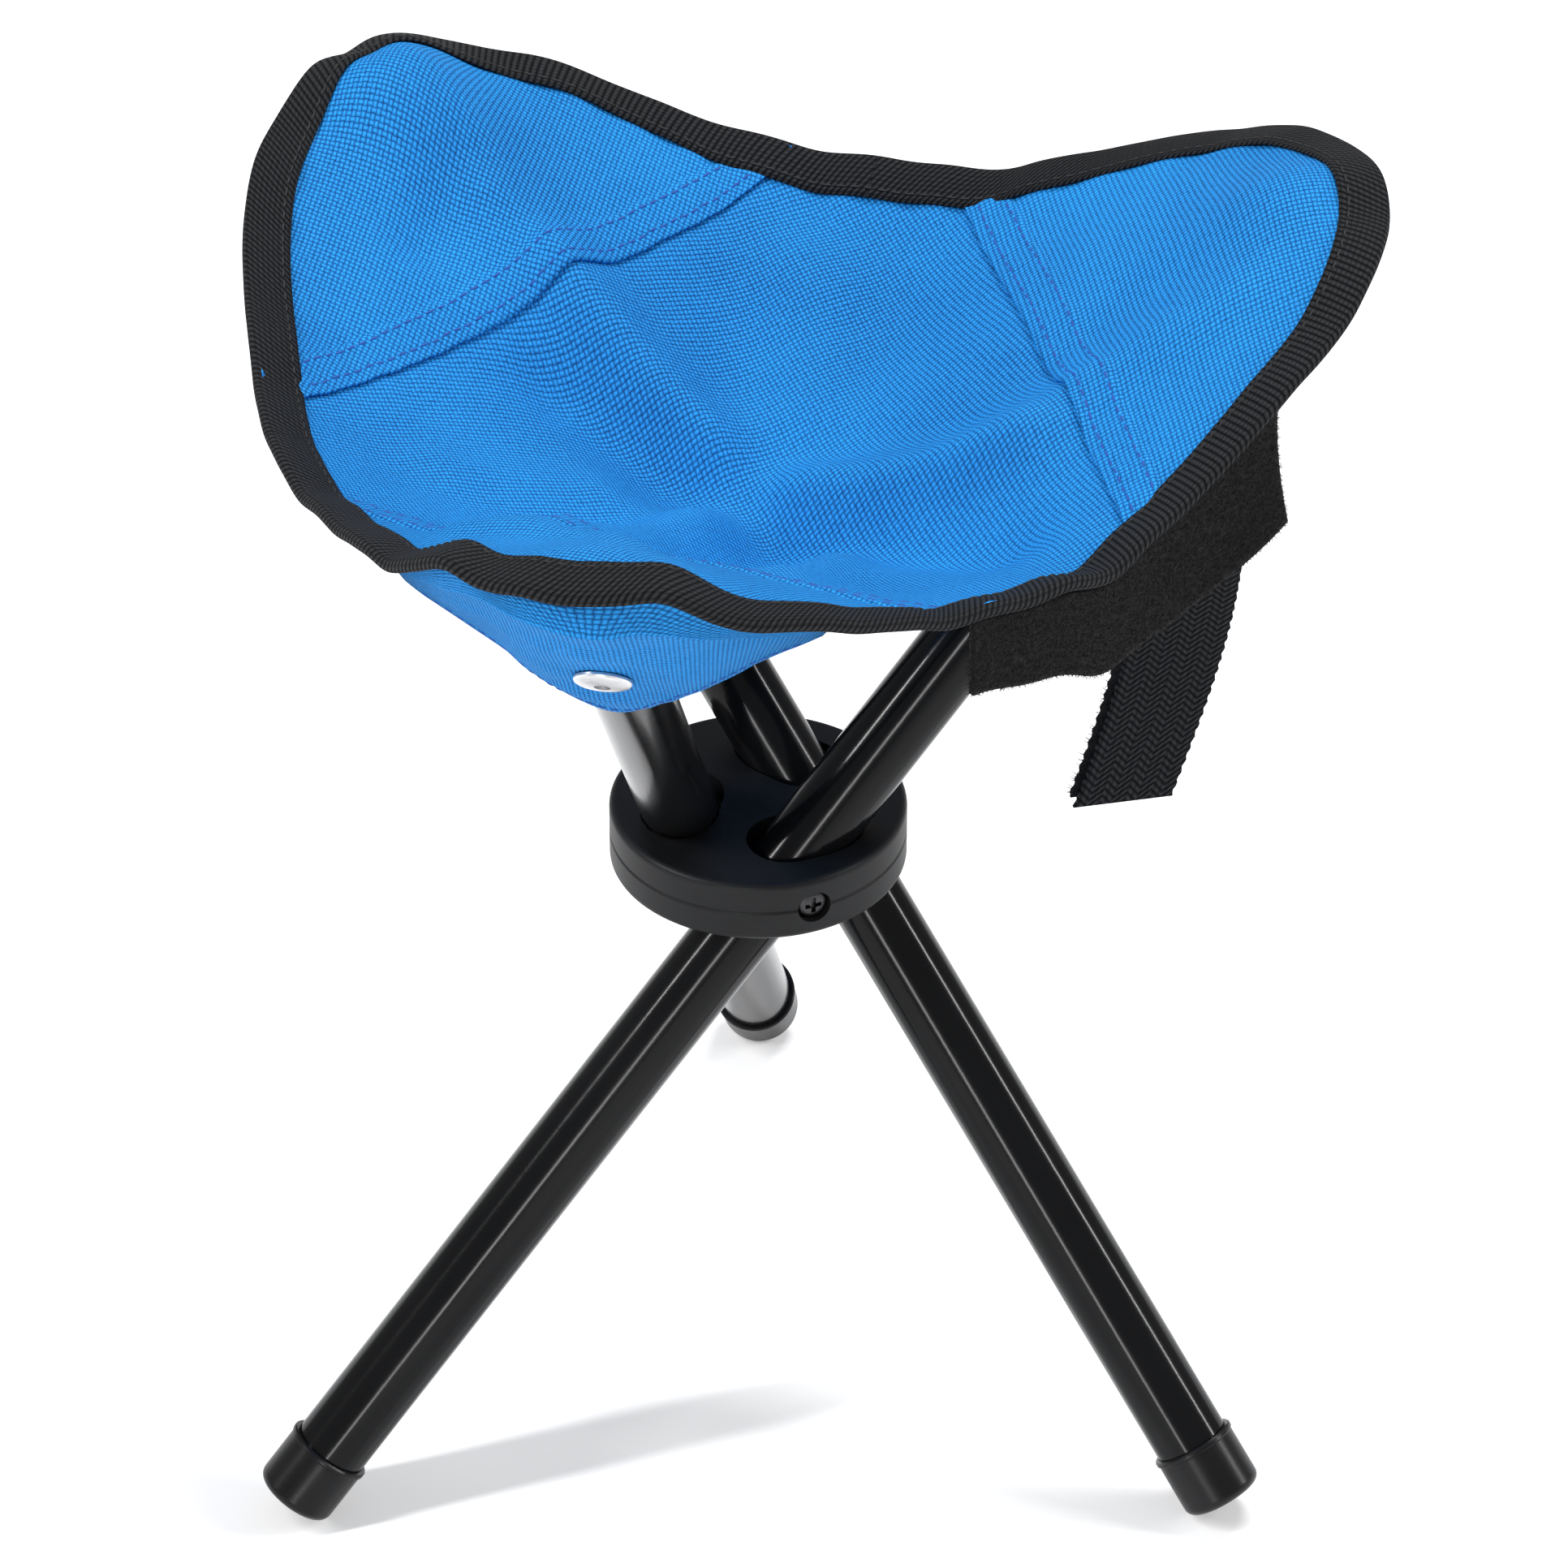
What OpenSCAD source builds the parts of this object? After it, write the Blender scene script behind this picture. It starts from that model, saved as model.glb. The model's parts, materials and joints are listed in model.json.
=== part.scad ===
/* [Legs] */
// Outside diameter of a leg tube
tube_d = 16; // [14:0.5:19]
// Wall of a leg tube
tube_wall = 1; // [0.8:0.1:2]
// Lean of an open leg from the upright
splay = 40; // [33:1:46]
// Tube length below its pivot
lower_len = 173; // [140:1:210]
// Tube length above its pivot
upper_len = 172; // [150:1:210]
// Distance of each tube's centre line from the hub's axis
leg_offset = 15.5; // [15:0.5:19]
// Direction of the first leg's foot, seen from above
foot_angle = 90; // [0:5:360]

/* [Foot caps] */
// Outside diameter of a foot cap
cap_d = 17.4; // [16.8:0.1:21]
// How far a cap reaches up its tube
cap_grip = 11; // [8:0.5:18]
// Thickness under the tube's end
cap_base = 3; // [2:0.5:5]
// Rounding of a cap's lower edge
cap_round = 2; // [1:0.25:3]
// How deep the worn flat cuts into that rounding
cap_flat = 0.25; // [0.15:0.05:0.5]

/* [Hub] */
// Thickness of the hub
hub_t = 14; // [12:0.5:18]
// Wall of the hub outside the tubes
hub_wall = 7.5; // [6:0.5:10]
// Rounding of the hub's two edges
hub_round = 1.5; // [0.5:0.25:2.5]
// Clearance between a tube and its slot
slot_gap = 0.3; // [0.2:0.05:0.6]
// Depth of the mould line round the hub's rim
mould_line = 0.25; // [0.1:0.05:0.5]

/* [Pivot screws] */
// Diameter of a pivot screw
screw_d = 4; // [3:0.5:5]
// Running clearance of a screw in its tube, on the radius
screw_fit = 0.06; // [0.02:0.01:0.1]
// Diameter of a screw's head
head_d = 6.4; // [5.6:0.1:8]
// Height of a screw's head
head_h = 2; // [1.6:0.1:2.4]
// Depth of the recess that holds the head
recess_deep = 2.6; // [2:0.1:3.2]
// Nut size across flats
nut_af = 7; // [6:0.5:8]
// Thickness of a nut
nut_t = 2.8; // [2.2:0.1:3.2]

/* [Leg tops] */
// Head thickness of the plug in a tube's top
plug_head = 1.5; // [1:0.25:3]
// Length of the plug inside the tube
plug_len = 10; // [6:1:16]
// Distance of the rivet below the tube's top
rivet_drop = 25; // [22:1:38]
// Diameter of the rivet's head
rivet_head_d = 11.4; // [8:0.2:13]
// Diameter of the rivet's shank
rivet_d = 4; // [3:0.2:5]

/* [Seat] */
// Thickness of the seat cloth
cloth_t = 1; // [0.8:0.1:1.6]
// How far the corners stand out past the tubes' ends: front, right, back left
corner_over = [9.5, 16.5, 11]; // [9:0.5:20]
// How far those corners stand above the tubes' ends
corner_lift = [-1.5, 0.5, -7.5]; // [-9:0.5:4]
// How far the middle of the seat hangs below its corners
seat_sag = 61; // [40:1:75]
// How far the edges' middles lie inside the tubes' ends: front right, back, left
edge_inset = [22.5, 19.5, 13]; // [8:0.5:28]
// How far the edges' middles dip below the tubes' ends
edge_dip = [31, 31, 25]; // [10:1:40]
// Distance of a corner panel's seam from the middle
seam_reach = 61; // [55:1:68]
// Width of the humps that the tube ends press into the cloth
crown_spread = 11; // [8:1:14]
// Width of the edge binding
binding_w = 10; // [7:0.5:12]
// Thickness of the edge binding
binding_t = 2.6; // [2.2:0.1:4]
// How far a corner pocket reaches below the tube's end
pocket_len = 52; // [44:1:64]
// Half the angle that a corner pocket spans
pocket_span = 24; // [16:1:28]

/* [Closure] */
// Width of the webbing
web_w = 20; // [15:1:25]
// Thickness of the webbing
web_t = 1.6; // [1.2:0.1:2.4]
// Thickness of the loop tape and the hook tape
tape_t = 1.6; // [1.2:0.1:2.2]
// Height of the loop tape at its two ends
tape_h = [16, 23]; // [10:1:28]

/* [Hidden] */
$fn = 64;

// The hub's axis stands here, which centres the whole object on the origin
hub_x = -11.1;
hub_y = -0.5;

black_gloss = "#15161a";
black_cloth = "#26272a";
blue_cloth = "#2c7de0";
steel = "#c9ccd0";

press_gap = 0.05;      // between pieces that are pushed together
cloth_gap = 0.4;       // between cloth pieces, and between cloth and frame
tube_r = tube_d / 2;
hub_r = leg_offset + tube_r + hub_wall;
slot_r = tube_r + slot_gap;

// The caps' lower edges stand on the floor, less their worn flats
cap_end = lower_len + cap_base;
edge_s = cap_end - cap_round;
edge_y = cap_d / 2 - cap_round;
pivot_h = edge_s * cos(splay) + edge_y * sin(splay) + cap_round - cap_flat;

// Plan angle of the first pivot screw: the tube passes the axis at leg_offset
first_pivot = foot_angle + 90 - atan2(leg_offset, cap_end * sin(splay));
function leg_angle(i) = first_pivot + 120 * i;

// A point in a leg's own frame: x outward along the screw, y square to the
// tube on its under side, s along the tube from the pivot
function leg_point(i, x, y, s) =
    let (a = leg_angle(i),
         out = leg_offset + x,
         along = s * sin(splay) + y * cos(splay),
         up = pivot_h + s * cos(splay) - y * sin(splay))
    [out * cos(a) - along * sin(a), out * sin(a) + along * cos(a), up];

// The seat's outline runs over three corners, one above each tube's end
top_s = upper_len + plug_head;
top_along = top_s * sin(splay);
top_r = norm([leg_offset, top_along]);
top_z = leg_point(0, 0, -tube_r, top_s)[2];
centre_z = top_z - seat_sag;
outline_power = 1.53;  // how blunt the corners are in plan
height_power = 1.38;   // how blunt they are in height
dish_power = 1.6;      // how the cloth dishes towards the middle of an edge

function corner_angle(i) = leg_angle(i) + atan2(top_along, leg_offset);
function turn(a) = (((a % 360) + 540) % 360) - 180;
function nearest_corner(a) =
    abs(turn(a - corner_angle(0))) <= 60 ? 0 :
    abs(turn(a - corner_angle(1))) <= 60 ? 1 : 2;
function off_corner(a) = turn(a - corner_angle(nearest_corner(a)));
function edge_of(a) = (nearest_corner(a) + (off_corner(a) >= 0 ? 0 : 2)) % 3;
function corner_share(a, power) = pow((1 + cos(3 * off_corner(a))) / 2, power);

function mixed(from, to, share) = from + (to - from) * share;
function rim_r(a) = top_r
    + mixed(-edge_inset[edge_of(a)], corner_over[nearest_corner(a)], corner_share(a, outline_power));
function rim_z(a) = top_z
    + mixed(-edge_dip[edge_of(a)], corner_lift[nearest_corner(a)], corner_share(a, height_power));

// Height of the cloth without the humps: a smooth step down from a corner,
// a shallow dish down from the middle of an edge
function dish(q, a) =
    let (share = corner_share(a, 1))
    share * q * q * (3 - 2 * q) + (1 - share) * pow(q, dish_power);
function plain_z(r, a) =
    centre_z + (rim_z(a) - centre_z) * dish(r / rim_r(a), a);

// Each tube's end presses a hump that keeps the cloth just above it
hump_at = [for (i = [0:2]) leg_point(i, 0, -tube_r, top_s)];
hump_h = [for (i = [0:2])
    let (p = hump_at[i])
    p[2] + cloth_gap + cloth_t - plain_z(norm([p[0], p[1]]), atan2(p[1], p[0]))];
function cloth_z(r, a) =
    let (i = nearest_corner(a),
         d = norm([r * cos(a) - hump_at[i][0], r * sin(a) - hump_at[i][1]]))
    plain_z(r, a) + hump_h[i] * exp(-d * d / (2 * crown_spread * crown_spread));
function cloth_point(r, a) = [r * cos(a), r * sin(a), cloth_z(r, a)];

// Panels stop short of the binding, and the seams run square to the corners
function panel_r(a) = rim_r(a) - binding_w - cloth_gap;
function seam_r(a) = seam_reach / cos(off_corner(a));
// Angle off a corner at which its seam meets the binding, by halving
function seam_end(i, side, low, high, steps) =
    steps == 0 ? low :
    let (mid = (low + high) / 2,
         a = corner_angle(i) + side * mid,
         open = panel_r(a) - seam_r(a) > 2 * cloth_gap)
    open ? seam_end(i, side, mid, high, steps - 1)
         : seam_end(i, side, low, mid, steps - 1);

module placed() translate([hub_x, hub_y, 0]) children();

// Leg frame: Z along the tube, Y square to it on its under side
module on_leg(i) {
    translate([0, 0, pivot_h]) rotate([0, 0, leg_angle(i)])
        translate([leg_offset, 0, 0]) rotate([-splay, 0, 0]) children();
}

// Screw frame: Z outward from the hub's axis
module on_screw(i, r) {
    translate([0, 0, pivot_h]) rotate([0, 0, leg_angle(i)])
        translate([r, 0, 0]) rotate([0, 90, 0]) children();
}

// Closed solid between two grids of points, each a list of rows. Seen from
// the outer grid's side, rows run to the right and columns turn to the left.
// A closed grid joins its last column to its first.
module between_grids(outer, inner, closed = false) {
    rows = len(outer);
    cols = len(outer[0]);
    last = closed ? cols - 1 : cols - 2;
    total = rows * cols;
    function at(i, j) = i * cols + j % cols;
    points = concat([for (row = outer) each row], [for (row = inner) each row]);
    skins = [for (i = [0:rows - 2]) for (j = [0:last]) each [
        [at(i, j), at(i, j + 1), at(i + 1, j + 1)],
        [at(i, j), at(i + 1, j + 1), at(i + 1, j)],
        [total + at(i, j), total + at(i + 1, j + 1), total + at(i, j + 1)],
        [total + at(i, j), total + at(i + 1, j), total + at(i + 1, j + 1)]]];
    rims = [for (j = [0:last]) each [
        [at(rows - 1, j), at(rows - 1, j + 1), total + at(rows - 1, j + 1)],
        [at(rows - 1, j), total + at(rows - 1, j + 1), total + at(rows - 1, j)],
        [at(0, j), total + at(0, j + 1), at(0, j + 1)],
        [at(0, j), total + at(0, j), total + at(0, j + 1)]]];
    ends = closed ? [] : [for (i = [0:rows - 2]) each [
        [at(i, 0), at(i + 1, 0), total + at(i + 1, 0)],
        [at(i, 0), total + at(i + 1, 0), total + at(i, 0)],
        [at(i, cols - 1), total + at(i + 1, cols - 1), at(i + 1, cols - 1)],
        [at(i, cols - 1), total + at(i, cols - 1), total + at(i + 1, cols - 1)]]];
    polyhedron(concat([for (p = points) p], []), concat(skins, rims, ends));
}

function moved(grid, v) = [for (row = grid) [for (p = row) p + v]];

// Disc of cloth: rings of points round a middle point
module cloth_disc(middle, rings, lift) {
    cols = len(rings[0]);
    rows = len(rings);
    half = 1 + rows * cols;
    up = [0, 0, lift / 2];
    flat_list = concat([middle], [for (row = rings) each row]);
    function at(i, j) = 1 + i * cols + j % cols;
    fan = [for (j = [0:cols - 1]) each [
        [0, at(0, j + 1), at(0, j)],
        [half, half + at(0, j), half + at(0, j + 1)]]];
    skins = [for (i = [0:rows - 2]) for (j = [0:cols - 1]) each [
        [at(i, j), at(i, j + 1), at(i + 1, j + 1)],
        [at(i, j), at(i + 1, j + 1), at(i + 1, j)],
        [half + at(i, j), half + at(i + 1, j + 1), half + at(i, j + 1)],
        [half + at(i, j), half + at(i + 1, j), half + at(i + 1, j + 1)]]];
    rim = [for (j = [0:cols - 1]) each [
        [at(rows - 1, j), at(rows - 1, j + 1), half + at(rows - 1, j + 1)],
        [at(rows - 1, j), half + at(rows - 1, j + 1), half + at(rows - 1, j)]]];
    polyhedron(
        concat([for (p = flat_list) p + up], [for (p = flat_list) p - up]),
        concat(fan, skins, rim));
}

// Space that a tube sweeps in the hub from upright to full lean. The flat
// sides stand just outside the round ends.
module leg_slot(i) {
    reach = hub_t;
    lean = reach * tan(splay);
    waist = 1.5;
    side_gap = 0.06;
    translate([0, 0, pivot_h]) rotate([0, 0, leg_angle(i)]) translate([leg_offset, 0, 0]) {
        cylinder(r = slot_r, h = 2 * reach, center = true);
        rotate([-splay, 0, 0]) cylinder(r = slot_r, h = 4 * reach, center = true);
        rotate([90, 0, 90]) linear_extrude(2 * (slot_r + side_gap), center = true)
            polygon([[-lean, -reach], [0, -reach], [waist, 0],
                     [lean, reach], [0, reach], [-waist, 0]]);
    }
}

module hub_disc() {
    half = hub_t / 2;
    steps = 5;
    corner = [for (k = [0:steps]) let (a = 90 * k / steps)
        [hub_r - hub_round + hub_round * cos(a), half - hub_round + hub_round * sin(a)]];
    upper = [for (p = corner) p];
    lower = [for (k = [steps:-1:0]) [corner[k][0], -corner[k][1]]];
    profile = concat([[0, -half]], lower,
        [[hub_r, -2 * mould_line], [hub_r - mould_line, 0], [hub_r, 2 * mould_line]],
        upper, [[0, half]]);
    color(black_gloss) difference() {
        translate([0, 0, pivot_h]) rotate_extrude($fn = 128) polygon(profile);
        for (i = [0:2]) {
            leg_slot(i);
            on_screw(i, hub_r - recess_deep)
                cylinder(d = head_d + 0.8, h = 2 * recess_deep);
            on_screw(i, nut_foot - tip_room) cylinder(d = screw_d + 2 * screw_fit, h = hub_r);
            on_screw(i, nut_foot) cylinder(r = nut_r + press_gap, h = slot_r, $fn = 6);
        }
    }
}

nut_r = nut_af / 2 / cos(30);
nut_foot = leg_offset - slot_r - nut_t;   // the nut's face is flush with the slot
tip_room = 0.5;

module pivot_screw(i) {
    seat_r = hub_r - recess_deep;
    tip_r = nut_foot + 0.3;
    cross_w = 1;
    steps = 6;
    dome = [for (k = [0:steps]) let (a = 90 * k / steps)
        [head_d / 2 * cos(a), head_h * (0.45 + 0.55 * sin(a))]];
    color(steel) difference() {
        union() {
            on_screw(i, tip_r) cylinder(d = screw_d, h = seat_r - tip_r);
            on_screw(i, seat_r) rotate_extrude() polygon(concat([[0, 0], [head_d / 2, 0]], dome));
        }
        on_screw(i, seat_r + head_h * 0.4) for (turned = [0, 90]) rotate([0, 0, turned])
            translate([-head_d * 0.28, -cross_w / 2, 0])
                cube([head_d * 0.56, cross_w, head_h]);
    }
}

module pivot_nut(i) {
    color(steel) on_screw(i, nut_foot) difference() {
        cylinder(r = nut_r, h = nut_t, $fn = 6);
        translate([0, 0, -1]) cylinder(d = screw_d + 2 * press_gap, h = nut_t + 2);
    }
}

rivet_s = upper_len - rivet_drop;
shank_fit = 0.05;

module leg_tube(i) {
    color(black_gloss) on_leg(i) difference() {
        translate([0, 0, -lower_len]) cylinder(d = tube_d, h = lower_len + upper_len);
        translate([0, 0, -lower_len - 1])
            cylinder(d = tube_d - 2 * tube_wall, h = lower_len + upper_len + 2);
        rotate([0, 90, 0])
            cylinder(d = screw_d + 2 * screw_fit, h = 2 * tube_d, center = true);
        translate([0, 0, rivet_s]) rotate([-90, 0, 0])
            cylinder(d = rivet_d + 2 * shank_fit, h = tube_d);
    }
}

module foot_cap(i) {
    outer = cap_d / 2;
    inner = tube_r + press_gap;
    bead = 0.35;
    steps = 6;
    heel = [for (k = [0:steps]) let (a = 90 * k / steps)
        [outer - cap_round + cap_round * sin(a), -cap_end + cap_round - cap_round * cos(a)]];
    mouth = -lower_len + cap_grip;
    profile = concat([[0, -cap_end]], heel,
        [[outer, mouth - 4 * bead], [outer + bead, mouth - 3 * bead],
         [outer + bead, mouth - bead], [outer, mouth], [inner, mouth],
         [inner, -lower_len], [0, -lower_len]]);
    color(black_gloss) difference() {
        on_leg(i) rotate_extrude() polygon(profile);
        translate([0, 0, -cap_d]) cube([6 * cap_end, 6 * cap_end, 2 * cap_d], center = true);
    }
}

module top_plug(i) {
    color(black_gloss) on_leg(i) {
        translate([0, 0, upper_len - plug_len])
            cylinder(d = tube_d - 2 * tube_wall - 2 * press_gap, h = plug_len);
        translate([0, 0, upper_len]) cylinder(d = tube_d, h = plug_head);
    }
}

// The pocket's cloth lies this far from the tube's centre line
pocket_y = tube_r + cloth_gap + cloth_t / 2;
pocket_w = 44;
pocket_under = binding_t / 2 + cloth_gap + cloth_t / 2;
rivet_foot = pocket_y + cloth_t / 2 + press_gap;

module leg_rivet(i) {
    flange_h = 1.7;
    bulb_y = sqrt(pow(tube_r - tube_wall, 2) - pow(rivet_d, 2) * 0.56) - press_gap;
    steps = 6;
    dome = [for (k = [0:steps]) let (a = 90 * k / steps)
        [rivet_head_d / 2 * cos(a), flange_h * (0.3 + 0.7 * sin(a))]];
    color(steel) on_leg(i) translate([0, 0, rivet_s]) rotate([-90, 0, 0]) difference() {
        union() {
            translate([0, 0, bulb_y - 1.4]) cylinder(d = rivet_d * 1.5, h = 1.4);
            translate([0, 0, bulb_y]) cylinder(d = rivet_d, h = rivet_foot - bulb_y);
            translate([0, 0, rivet_foot]) rotate_extrude()
                polygon(concat([[0, 0], [rivet_head_d / 2, 0]], dome));
        }
        translate([0, 0, rivet_foot + flange_h * 0.55]) cylinder(d = rivet_d * 0.8, h = flange_h);
    }
}

// A pocket hangs from the binding, rounds the tube's end and narrows to its
// rivet. Its two upper corners run out along the binding.
function pocket_point(i, down, across) =
    let (a = corner_angle(i) + pocket_span * across,
         spread = -pocket_w / 2 * across,
         ease = 1 - across * across,
         knee = 0.2,
         tent = down < knee ? down / knee : (1 - down) / (1 - knee),
         lip = cloth_point(rim_r(a) - binding_w * 0.35, a) - [0, 0, pocket_under],
         bend = leg_point(i, spread, pocket_y, top_s + 2),
         foot = leg_point(i, spread, pocket_y, top_s - pocket_len),
         fall = foot - lip)
    lip + fall * down * ease + (bend - lip - fall * knee) * tent * ease * ease;

module corner_pocket(i) {
    rows = 15;
    cols = 25;
    margin = 0.04;
    a = leg_angle(i);
    square = [-sin(a) * cos(splay), cos(a) * cos(splay), -sin(splay)];
    middle = [for (k = [0:rows]) [for (m = [0:cols])
        pocket_point(i, k / rows, (2 * m / cols - 1) * (1 - margin))]];
    color(blue_cloth) difference() {
        between_grids(moved(middle, square * cloth_t / 2), moved(middle, -square * cloth_t / 2));
        on_leg(i) translate([0, 0, rivet_s]) rotate([-90, 0, 0])
            cylinder(d = rivet_d + 2 * shank_fit, h = 3 * tube_d);
    }
}

// The corner panels' grids grow finer with the seat, so that they follow the
// crowns over the tube ends
grid_along = 6.5;
grid_round = 4.05;

module seat_centre_panel() {
    rows = 8;
    cols = 96;
    rings = [for (k = [1:rows]) [for (m = [0:cols - 1])
        let (a = 360 * m / cols, r = min(panel_r(a), seam_r(a) - cloth_gap / 2) * k / rows)
        cloth_point(r, a)]];
    color(blue_cloth) cloth_disc([0, 0, centre_z], rings, cloth_t);
}

module seat_corner_panel(i) {
    rows = ceil((top_r - seam_reach) / grid_along);
    cols = ceil(top_r / grid_round);
    first = -seam_end(i, -1, 0, 59, 16);
    last = seam_end(i, 1, 0, 59, 16);
    middle = [for (k = [0:rows]) [for (m = [0:cols])
        let (a = corner_angle(i) + first + (last - first) * m / cols,
             near = seam_r(a) + cloth_gap / 2,
             r = near + (panel_r(a) - near) * k / rows)
        cloth_point(r, a)]];
    color(blue_cloth)
        between_grids(moved(middle, [0, 0, cloth_t / 2]), moved(middle, [0, 0, -cloth_t / 2]));
}

module edge_binding() {
    rows = 3;
    cols = 144;
    middle = [for (k = [0:rows]) [for (m = [0:cols - 1])
        let (a = 360 * m / cols) cloth_point(rim_r(a) - binding_w * (1 - k / rows), a)]];
    color(black_cloth) between_grids(
        moved(middle, [0, 0, binding_t / 2]), moved(middle, [0, 0, -binding_t / 2]), true);
}

// The loop tape hangs from the front right edge, between these two angles
// from the middle of that edge
tape_from = -17;
tape_to = 33;
edge_middle = corner_angle(0) + 60;

module closure_loop_tape() {
    rows = 3;
    cols = 24;
    inset = 2;
    function wall(r_off) = [for (k = [0:rows]) [for (m = [0:cols])
        let (share = m / cols,
             a = edge_middle + tape_from + (tape_to - tape_from) * share,
             r = rim_r(a) - inset + r_off,
             lowest = min(cloth_z(rim_r(a) - inset, a), cloth_z(rim_r(a) - inset - tape_t, a)),
             top = lowest - binding_t / 2 - 2 * cloth_gap,
             tall = tape_h[0] + (tape_h[1] - tape_h[0]) * share)
        [r * cos(a), r * sin(a), top - tall * k / rows]]];
    color(black_cloth) between_grids(wall(0), wall(-tape_t));
}

// The webbing hangs behind the loop tape, turned to face the front
web_angle = edge_middle + 30;
web_drop = [-13, -5, -74];
web_across = [cos(8), sin(8), 0];
web_inset = 13;
web_under = 18;

function web_point(down, across) =
    let (r = rim_r(web_angle) - web_inset,
         top = [r * cos(web_angle), r * sin(web_angle), rim_z(web_angle) - web_under],
         bow = [4, 6, 0] * sin(180 * down))
    top + web_drop * down + bow + web_across * across;

module hanging_strip(from, to, left, right, back, thick) {
    rows = 10;
    face = [for (k = [0:rows]) [for (side = [left, right])
        web_point(from + (to - from) * k / rows, side) + [0, back, 0]]];
    between_grids(face, moved(face, [0, thick, 0]));
}

module closure_webbing() {
    color(black_cloth) hanging_strip(0, 1, -web_w / 2, web_w / 2, 0, web_t);
}

module closure_hook_tape() {
    shift = 1.5;
    color(black_cloth) hanging_strip(0.3, 0.97, -web_w / 2 - shift, web_w / 2 - 2 * shift,
        web_t + press_gap, tape_t * 0.75);
}

placed() hub_disc();
placed() pivot_screw(0);  // pivot_screw_1
placed() pivot_screw(1);  // pivot_screw_2
placed() pivot_screw(2);  // pivot_screw_3
placed() pivot_nut(0);  // pivot_nut_1
placed() pivot_nut(1);  // pivot_nut_2
placed() pivot_nut(2);  // pivot_nut_3
placed() leg_tube(0);  // leg_tube_1
placed() leg_tube(1);  // leg_tube_2
placed() leg_tube(2);  // leg_tube_3
placed() foot_cap(0);  // foot_cap_1
placed() foot_cap(1);  // foot_cap_2
placed() foot_cap(2);  // foot_cap_3
placed() top_plug(0);  // top_plug_1
placed() top_plug(1);  // top_plug_2
placed() top_plug(2);  // top_plug_3
placed() leg_rivet(0);  // leg_rivet_1
placed() leg_rivet(1);  // leg_rivet_2
placed() leg_rivet(2);  // leg_rivet_3
placed() corner_pocket(0);  // corner_pocket_1
placed() corner_pocket(1);  // corner_pocket_2
placed() corner_pocket(2);  // corner_pocket_3
placed() seat_centre_panel();
placed() seat_corner_panel(0);  // seat_corner_panel_1
placed() seat_corner_panel(1);  // seat_corner_panel_2
placed() seat_corner_panel(2);  // seat_corner_panel_3
placed() edge_binding();
placed() closure_loop_tape();
placed() closure_webbing();
placed() closure_hook_tape();
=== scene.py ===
"""Folding tripod camp stool: its looks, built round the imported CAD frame.

The legs, hub, caps, screws and rivets are the CAD nodes with finishes of their
own. The seat cloth, corner pockets, edge tape, loop tape, webbing and hook tape
are modelled here and stand for the plain cloth solids of the frame.
"""

from __future__ import annotations

import json
import logging
import math
from dataclasses import dataclass, field
from enum import Enum
from typing import Any, Sequence

import bmesh
import bpy
import numpy as np
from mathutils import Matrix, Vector, noise

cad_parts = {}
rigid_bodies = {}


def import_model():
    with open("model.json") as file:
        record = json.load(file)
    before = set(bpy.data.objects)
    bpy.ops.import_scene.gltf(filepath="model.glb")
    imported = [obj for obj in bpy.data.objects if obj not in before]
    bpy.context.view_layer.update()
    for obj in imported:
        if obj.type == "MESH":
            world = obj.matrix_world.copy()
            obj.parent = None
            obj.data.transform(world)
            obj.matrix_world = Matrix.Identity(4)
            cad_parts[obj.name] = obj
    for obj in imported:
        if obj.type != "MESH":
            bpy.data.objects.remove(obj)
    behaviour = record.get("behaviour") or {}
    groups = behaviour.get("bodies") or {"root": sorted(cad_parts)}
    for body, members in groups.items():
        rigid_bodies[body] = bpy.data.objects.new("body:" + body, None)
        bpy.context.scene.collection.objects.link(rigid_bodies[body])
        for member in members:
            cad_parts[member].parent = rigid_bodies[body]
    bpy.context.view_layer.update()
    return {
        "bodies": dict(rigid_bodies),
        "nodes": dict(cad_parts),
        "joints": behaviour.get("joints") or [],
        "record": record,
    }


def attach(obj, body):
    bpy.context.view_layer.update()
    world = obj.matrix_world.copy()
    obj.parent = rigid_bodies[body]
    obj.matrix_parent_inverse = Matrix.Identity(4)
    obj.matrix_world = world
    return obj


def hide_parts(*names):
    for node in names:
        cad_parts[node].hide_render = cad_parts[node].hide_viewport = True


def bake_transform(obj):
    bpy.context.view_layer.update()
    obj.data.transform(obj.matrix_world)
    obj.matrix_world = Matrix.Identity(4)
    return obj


LOG = logging.getLogger("camp_stool")
MM = 0.001
CORNERS = (0, 1, 2)
STEP = 120.0  # Plan angle from one corner or leg to the next
HALF_STEP = STEP / 2


# ---- Node trees ----


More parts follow.
